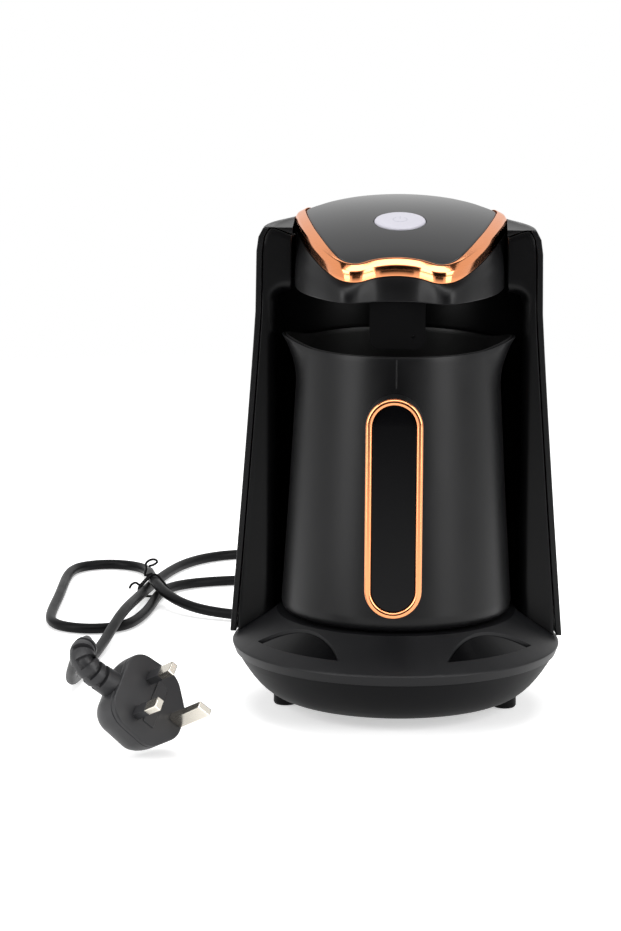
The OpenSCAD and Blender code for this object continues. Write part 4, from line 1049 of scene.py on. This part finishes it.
# how far each ring of the inlay is drawn in, and how deep it lies behind the handle's face
INLAY_CROWN = [
    (0, 3.0), (0, 0.35), (0.12, 0.1), (0.4, 0.0), (2.0, -0.12), (5.0, -0.28), (8.0, -0.36), (10.2, -0.38)]


def racetrack(width, height, round_steps=24, straight_steps=12):
    """Upright slot shape as (x, z) about its middle, anticlockwise."""
    r, reach = width / 2, (height - width) / 2
    line = []
    for side, start in ((1, 0), (-1, 180)):
        for k in range(round_steps + 1):
            turn = math.radians(start + 180 * k / round_steps)
            line.append((r * math.cos(turn), side * reach + r * math.sin(turn)))
        x, z = line[-1]
        line += [(x, z - side * 2 * reach * k / straight_steps) for k in range(1, straight_steps)]
    return line


def handle_ring():
    """Round-faced copper ring let into the handle."""
    section = []
    for k in range(RING_STEPS + 1):
        lean = math.pi * k / RING_STEPS
        proud = (RING_PROUD + RING_LIP) * math.sin(lean) ** RING_FULLNESS - RING_LIP
        section.append((RING_W / 2 * (1 - math.cos(lean)), proud))
    section += [(RING_W, -RING_SEAT), (0, -RING_SEAT)]
    outline = [Vector(p) for p in racetrack(HANDLE_W, HANDLE_H)]
    rows = []
    for p, out in zip(outline, outward(outline)):
        rows.append([at(p.x - out.x * inset, -HANDLE_FACE_Y - proud, HANDLE_MID_Z + p.y - out.y * inset)
                     for inset, proud in section])
    return sweep("handle_copper_ring", rows, "copper", "pot", ["handle_ring"], ring=True, crease=40)


def handle_inlay():
    """Glossy inlay inside the ring, very slightly crowned."""
    drawn_in = 2 * (RING_W + INLAY_GAP)
    rings = []
    for inset, depth in INLAY_CROWN:
        shape = racetrack(HANDLE_W - drawn_in - 2 * inset, HANDLE_H - drawn_in - 2 * inset)
        rings.append([at(x, -HANDLE_FACE_Y + depth, HANDLE_MID_Z + z) for x, z in shape])
    return sweep("handle_gloss_inlay", rings, "gloss_inlay", "pot", ["handle_inlay"])


# ---------------------------------------------------------------- front shell

SEAT_R = 62.0
DECK_SLOPE = (49.5 - 34.0) / (85.0 - 62.0)
CLEAR = 0.3
SHELL_T = 2.4
SHELL_SKIN_T = SHELL_T - 0.4
CAVITY_R = 63.8
WING_Y = 2.0
ROLL_R = 6.0
WING_TOP_Z = 248.0
WING_EDGE_X = 55.3
WING_EDGE_Z = 244.8
WING_TURN_X = WING_EDGE_X + 0.9
WING_SHOULDER_X = 64.5
WING_FOOT_Z = 44.0
WING_INSET = 0.1
CORNER_R = 5.5
CORNER_TOP_Z = 215.2
HOUSE_TOP_R = 74.0
HOUSE_FLARE = 12.6
FLARE_TOP_Z = 205.0
FLARE_FOOT_Z = 35.54
FLARE_POWER = 1.08
PANEL_T = 3.0
HOUSE_TOP_LINE = [(FLARE_TOP_Z, HOUSE_TOP_R), (236.2, 73.6), (243.5, 72.6), (248.2, 70.2)]
SOCKET_HALF_W = 18.3
SOCKET_BOTTOM_Z = 53.2
SOCKET_TOP_Z = 70.8
SHELL_TOP_Z = 218.0
SHELL_WELD = 0.00002
# columns of the cavity's wall: beside the socket and across it
SIDE_STEPS = 30
SOCKET_STEPS = 12
CORNER_STEPS = 16
BORDER_STEPS = 20
ROLL_STEPS = 10
FLAT_STEPS = 8
SIDE_TOP_Z = CORNER_TOP_Z - CORNER_R
SHELL_LEVELS = [SOCKET_BOTTOM_Z, SOCKET_TOP_Z]
SHELL_LEVELS += [SOCKET_TOP_Z + (SIDE_TOP_Z - SOCKET_TOP_Z) * k / 12 for k in range(1, 13)]
# how the wing's edges are rounded, beside the panel and beside the head: inwards and back
BORDER_ROUND = 0.6
BORDER_EDGE = [(0.18, 0.16), (0.0, 0.6), (0.0, 2.2)]
INNER_EDGE = [(0.35, 0.1), (0.1, 0.38), (0.0, 0.9), (0.0, 2.4)]


def deck_z(r):
    """Height of the deck at a distance from the machine's axis."""
    return SEAT_Z - (max(r, SEAT_R) - SEAT_R) * DECK_SLOPE


def house_r(z):
    """Radius of the housing's outside at a height."""
    if z <= FLARE_TOP_Z:
        return HOUSE_TOP_R + HOUSE_FLARE * ((FLARE_TOP_Z - z) / (FLARE_TOP_Z - FLARE_FOOT_Z)) ** FLARE_POWER
    for (z0, r0), (z1, r1) in zip(HOUSE_TOP_LINE, HOUSE_TOP_LINE[1:]):
        if z <= z1:
            return r0 + (r1 - r0) * (z - z0) / (z1 - z0)
    return HOUSE_TOP_LINE[-1][1]


def wing_outer(z):
    """Where a wing's front meets the side panel, as its distance from the middle."""
    return math.sqrt((house_r(z) - PANEL_T - CLEAR) ** 2 - WING_Y ** 2) - WING_INSET


def wing_border():
    """The wing's outer edge above the cavity's corner: up beside the panel, then in along the shoulder."""
    heights = [SIDE_TOP_Z + (WING_TOP_Z - SIDE_TOP_Z) * k / BORDER_STEPS for k in range(BORDER_STEPS + 1)]
    border = [Vector((wing_outer(z), z)) for z in heights]
    shoulder, end = Vector((WING_SHOULDER_X, WING_TOP_Z)), Vector((WING_TURN_X, WING_EDGE_Z))
    return border + [shoulder.lerp(end, k / FLAT_STEPS) for k in range(FLAT_STEPS + 1)]


def evenly_along(line, count):
    """Evenly spaced points along a line, without its start."""
    far = distances(line)
    points = []
    for k in range(1, count + 1):
        want = far[-1] * k / count
        i = min(max(j for j in range(len(far)) if far[j] <= want + 1e-9), len(far) - 2)
        points.append(line[i].lerp(line[i + 1], (want - far[i]) / (far[i + 1] - far[i])))
    return points


def wing_section(place, lean, border):
    """One section of the wing: a quarter roll out of the cavity, flat to the border, and back there."""
    section = []
    for k in range(ROLL_STEPS + 1):
        turn = math.pi / 2 * k / ROLL_STEPS
        reach = ROLL_R * (1 - math.cos(turn))
        depth = WING_Y + ROLL_R * (1 - math.sin(turn))
        section.append(Vector((place[0] + lean[0] * reach, depth, place[1] + lean[1] * reach)))
    last = section[-1]
    edge = Vector((border[0], WING_Y, border[1]))
    back = (last - edge).normalized() if (last - edge).length > 0.01 else Vector((-1, 0, 0))
    section += [last.lerp(edge + back * BORDER_ROUND, k / FLAT_STEPS) for k in range(1, FLAT_STEPS + 1)]
    return section + [edge + back * inward + Vector((0, depth, 0)) for inward, depth in BORDER_EDGE]


def wing_rows():
    """Sections of the right wing: up the cavity's side, round its corner and in to the head."""
    roll_x = math.sqrt(CAVITY_R ** 2 - (WING_Y + ROLL_R) ** 2)
    sections = []
    for z in [WING_FOOT_Z] + SHELL_LEVELS:
        sections.append(wing_section((roll_x, z), (1.0, 0.0), (wing_outer(z), z)))
    # the foot follows the deck
    for p in sections[0]:
        p.z = deck_z(math.hypot(p.x, p.y)) + CLEAR
    corner_x = roll_x - CORNER_R
    inner = []
    for k in range(1, CORNER_STEPS + 1):
        turn = math.pi / 2 * k / CORNER_STEPS
        lean = (math.cos(turn), math.sin(turn))
        inner.append(((corner_x + CORNER_R * lean[0], SIDE_TOP_Z + CORNER_R * lean[1]), lean))
    inner += [((corner_x + (WING_TURN_X - corner_x) * k / 3, CORNER_TOP_Z), (0.0, 1.0)) for k in (1, 2, 3)]
    for (place, lean), border in zip(inner, evenly_along(wing_border(), len(inner))):
        sections.append(wing_section(place, lean, border))
    last = sections[-1]
    for inward, back in INNER_EDGE:
        sections.append([Vector((WING_EDGE_X + inward, p.y + back, p.z)) for p in last])
    return sections


def front_shell():
    """Cavity wall and the two wings in one skin, with the edge between them rolled."""
    points, faces = [], []

    def skin(rows, skip=lambda i, j: False, flip=False):
        base, columns = len(points), len(rows[0])
        points.extend(at(*p) for row in rows for p in row)
        for i in range(len(rows) - 1):
            for j in range(columns - 1):
                if not skip(i, j):
                    face = (base + i * columns + j, base + i * columns + j + 1,
                            base + (i + 1) * columns + j + 1, base + (i + 1) * columns + j)
                    faces.append(face[::-1] if flip else face)

    wing = wing_rows()
    skin(wing)
    skin([[Vector((-p.x, p.y, p.z)) for p in row] for row in wing], flip=True)
    start = math.asin((WING_Y + ROLL_R) / CAVITY_R)
    gap = math.acos(SOCKET_HALF_W / CAVITY_R)
    side = [start + (gap - start) * k / SIDE_STEPS for k in range(SIDE_STEPS + 1)]
    across = [gap + (math.pi - 2 * gap) * k / SOCKET_STEPS for k in range(1, SOCKET_STEPS)]
    turns = side + across + [math.pi - t for t in reversed(side)]
    levels = [deck_z(CAVITY_R) + CLEAR] + SHELL_LEVELS + [CORNER_TOP_Z, SHELL_TOP_Z]
    rows = [[Vector((CAVITY_R * math.cos(t), CAVITY_R * math.sin(t), z)) for t in turns] for z in levels]

    def in_socket(i, j):
        return levels[i] == SOCKET_BOTTOM_Z and SIDE_STEPS <= j < SIDE_STEPS + SOCKET_STEPS

    skin(rows, in_socket, flip=True)
    mesh = bpy.data.meshes.new("front_skin")
    mesh.from_pydata([tuple(p) for p in points], [], faces)
    with opened(mesh) as work:
        bmesh.ops.remove_doubles(work, verts=work.verts, dist=SHELL_WELD)
    piece = new_object("front_skin", mesh)
    wall = piece.modifiers.new("wall", "SOLIDIFY")
    wall.thickness = SHELL_SKIN_T * MM
    wall.offset = -1
    apply_modifiers(piece)
    shade(piece.data, crease=40)
    # the shell takes the satin black darkened as painted shade
    enrol(piece, "shell_black_painted_shade", "machine", ["front_shell"])
    return piece


SHOULDER_Z = 248.5
# how much of the crown stays beside the head, and how much comes back further to the rear
CROWN_KEPT = 0.14
CROWN_BESIDE = 0.30
CROWN_BEHIND = 0.56
BESIDE_Y = (20, 40)
BEHIND_Y = (46, 60)
OPENING_X = WING_EDGE_X - 0.2
OPENING_BACK_Y = 34


def settle_shoulder(cap):
    """Draws the cap's crown down beside the head, and its opening clear of the copper trim."""
    for vertex in cap.data.vertices:
        x, y, z = vertex.co.x / MM, vertex.co.y / MM - AXIS_Y, vertex.co.z / MM
        if z > SHOULDER_Z:
            kept = CROWN_KEPT + CROWN_BESIDE * ramp(y, *BESIDE_Y) + CROWN_BEHIND * ramp(y, *BEHIND_Y)
            vertex.co.z = (SHOULDER_Z + (z - SHOULDER_Z) * kept) * MM
        if y < OPENING_BACK_Y and abs(x) < OPENING_X:
            vertex.co.x = math.copysign(OPENING_X, x) * MM
    shade(cap.data, crease=40)


# ---------------------------------------------------------------- floor, lights and world


def seen_rays(tree):
    """One for camera, mirror and see-through rays, which are to meet the white surroundings."""
    path = tree.nodes.new("ShaderNodeLightPath")
    total = path.outputs["Is Camera Ray"]
    for ray in ("Is Glossy Ray", "Is Transmission Ray"):
        total = maths(tree, "MAXIMUM", total, path.outputs[ray])
    return total


FLOOR_FADE = (0.45, 1.1)
FLOOR_REACH = 1.2
FLOOR_Z = -0.0003
FLOOR_GLOW = 0.5
WORLD_LEVEL = 0.42


def floor_finish():
    """White seamless paper, which fades into the white surroundings away from the object."""
    finish = Finish("white paper", (0.93, 0.93, 0.93), 0.9, Specular_IOR_Level=0.1)
    marks = finish.use(GRAIN, Grain_Scale=900.0, Drift_Scale=3.0)
    finish.vary_colour(marks.outputs["Drift"], 0.995, 1.005)
    finish.bump(marks.outputs["Height"], 0.00001, 0.2)
    finish.shader.inputs["Emission Color"].default_value = (1, 1, 1, 1)
    glow = spread(finish, seen_rays(finish.tree), 0.0, 1.0, 0.0, FLOOR_GLOW)
    finish.links.new(glow, finish.shader.inputs["Emission Strength"])
    length = finish.nodes.new("ShaderNodeVectorMath")
    length.operation = "LENGTH"
    finish.links.new(finish.coordinates, length.inputs[0])
    fade = spread(finish, length.outputs["Value"], *FLOOR_FADE, 1.0, 0.0)
    finish.links.new(fade, finish.shader.inputs["Alpha"])
    return finish.material


def lay_floor():
    """A square of paper under the object."""
    mesh = bpy.data.meshes.new("floor")
    corners = [(FLOOR_REACH * x, FLOOR_REACH * y, 0) for x, y in ((-1, -1), (1, -1), (1, 1), (-1, 1))]
    mesh.from_pydata(corners, [], [(0, 1, 2, 3)])
    floor = new_object("floor", mesh)
    floor.location.z = FLOOR_Z
    mesh.materials.append(floor_finish())


def soft_box(name, place, aim, width, height, power):
    """A rectangular studio light that faces a point."""
    light = bpy.data.lights.new(name, "AREA")
    light.shape = "RECTANGLE"
    light.size = width
    light.size_y = height
    light.energy = power
    obj = new_object(name, light)
    obj.location = place
    obj.rotation_euler = (Vector(aim) - Vector(place)).to_track_quat("-Z", "Y").to_euler()


def light_world():
    """White behind the object and in its reflections, a soft grey for all other light."""
    world = bpy.data.worlds.new("studio")
    bpy.context.scene.world = world
    world.use_nodes = True
    tree = world.node_tree
    glow = tree.nodes["Background"]
    glow.inputs["Color"].default_value = (1, 1, 1, 1)
    tree.links.new(spread(tree, seen_rays(tree), 0.0, 1.0, WORLD_LEVEL, 1.0), glow.inputs["Strength"])


def arc(radius, start, end, height):
    """Points of a level arc round the object; angles run from straight in front to its right."""
    turns = [math.radians(start + (end - start) * k / 24) for k in range(25)]
    return [(radius * math.sin(turn), -radius * math.cos(turn), height) for turn in turns]


def card(name, one_edge, other_edge, material):
    """A card between two lines of points, which shows in the object's reflections alone."""
    count = len(one_edge)
    mesh = bpy.data.meshes.new(name)
    mesh.from_pydata(one_edge + other_edge, [], grid_faces(2, count, False, False))
    obj = new_object(name, mesh)
    mesh.materials.append(material)
    for ray in ("camera", "diffuse", "transmission", "volume_scatter", "shadow"):
        setattr(obj, "visible_" + ray, False)


def upright_card(name, material, radius, start, end, low, high):
    """A card that stands on an arc round the object."""
    card(name, arc(radius, start, end, low), arc(radius, start, end, high), material)


def level_card(name, material, half_width, front_y, back_y, height):
    """A card that lies level over the object."""
    edges = [[(-half_width, y, height), (half_width, y, height)] for y in (front_y, back_y)]
    card(name, *edges, material)


CARD_BLACK = (0.004, 0.004, 0.004)
CARD_ROUGHNESS = 0.95
CARD_GLOW = 4.5
GRADE_Y = (0.5, 1.25)
SIDE_POWER = 22
TOP_POWER = 24


def graded_black():
    """Black that thins out over the rear of a card."""
    finish = Finish("graded black card", CARD_BLACK, CARD_ROUGHNESS)
    place = finish.nodes.new("ShaderNodeSeparateXYZ")
    finish.links.new(finish.coordinates, place.inputs["Vector"])
    fade = spread(finish, place.outputs["Y"], *GRADE_Y, 1.0, 0.0)
    finish.links.new(fade, finish.shader.inputs["Alpha"])
    return finish.material


def light_object():
    """Two side boxes and a top box, with black and bright cards for the gloss to mirror."""
    for name, side in (("left_box", -1), ("right_box", 1)):
        soft_box(name, (1.5 * side, -1.1, 0.8), aim=(0, 0, 0.12), width=0.9, height=1.6, power=SIDE_POWER)
    soft_box("top_box", (0, 0.4, 1.7), aim=(0, 0, 0.15), width=1.6, height=1.2, power=TOP_POWER)
    black = rubbery("black card", CARD_BLACK, CARD_ROUGHNESS)
    bright = Finish("bright card", (1, 1, 1), 0.9, Emission_Color=(1, 1, 1, 1), Emission_Strength=CARD_GLOW)
    bright = bright.material
    upright_card("front_card", black, radius=2.9, start=-38, end=38, low=-0.2, high=1.5)
    upright_card("low_card", black, radius=2.8, start=-26, end=26, low=-1.2, high=-0.2)
    level_card("overhead_card", graded_black(), half_width=1.3, front_y=-0.3, back_y=1.3, height=1.5)
    level_card("strip_card", bright, half_width=0.9, front_y=-0.95, back_y=-0.42, height=1.4)
    for name, side in (("left", -1), ("right", 1)):
        upright_card(
            name + "_low_card", bright, radius=2.0, start=40 * side, end=60 * side, low=-0.8, high=-0.05)
        upright_card(
            name + "_flag", black, radius=2.0, start=125 * side, end=134 * side, low=-0.8, high=0.6)


# ---------------------------------------------------------------- making

set_camera()
front_shell()
head_wall()
copper_trim()
glossy_lid()
start_button()
button_mark()
pot()
pot_seam()
handle_ring()
handle_inlay()

SOFT_EDGES = {
    "base_deck": 0.5, "base_tub": 0.5, "feet": 0.4, "side_panel_left": 0.6, "side_panel_right": 0.6,
    "rear_cover": 0.5, "head_base": 0.3, "sensor_housing": 0.8, "handle_bar": 1.6,
}
# the sensor housing and head base take the black with painted shade
OWN_FINISH = {
    "base_deck": "deck_black", "base_tub": "tub_black", "sensor_housing": "painted_shade_black",
    "head_base": "painted_shade_black",
}
for cad_node, edge in SOFT_EDGES.items():
    soften(cad_node, edge, material=OWN_FINISH.get(cad_node))
settle_shoulder(soften("shoulder_cap", 0.4, crease=48))
for cad_node in ("deck_inlay_left", "deck_inlay_right"):
    soften(cad_node, 0.3, material="gloss_inlay")

carried = [plug_moulding(), strain_relief(), soften("plug_pins", 0.5), soften("plug_sleeves", 0.3),
           soften("fuse_cover", 0.3), frame["nodes"]["cord_gland"]]
mains_lead(carried + twist_tie())

for cad_node, cad_object in frame["nodes"].items():
    if not cad_object.hide_render:
        dress(cad_object, SLOT_OF[cad_node])
        shade(cad_object.data, crease=32)

lay_floor()
light_object()
light_world()
bpy.context.scene.view_settings.view_transform = "Standard"
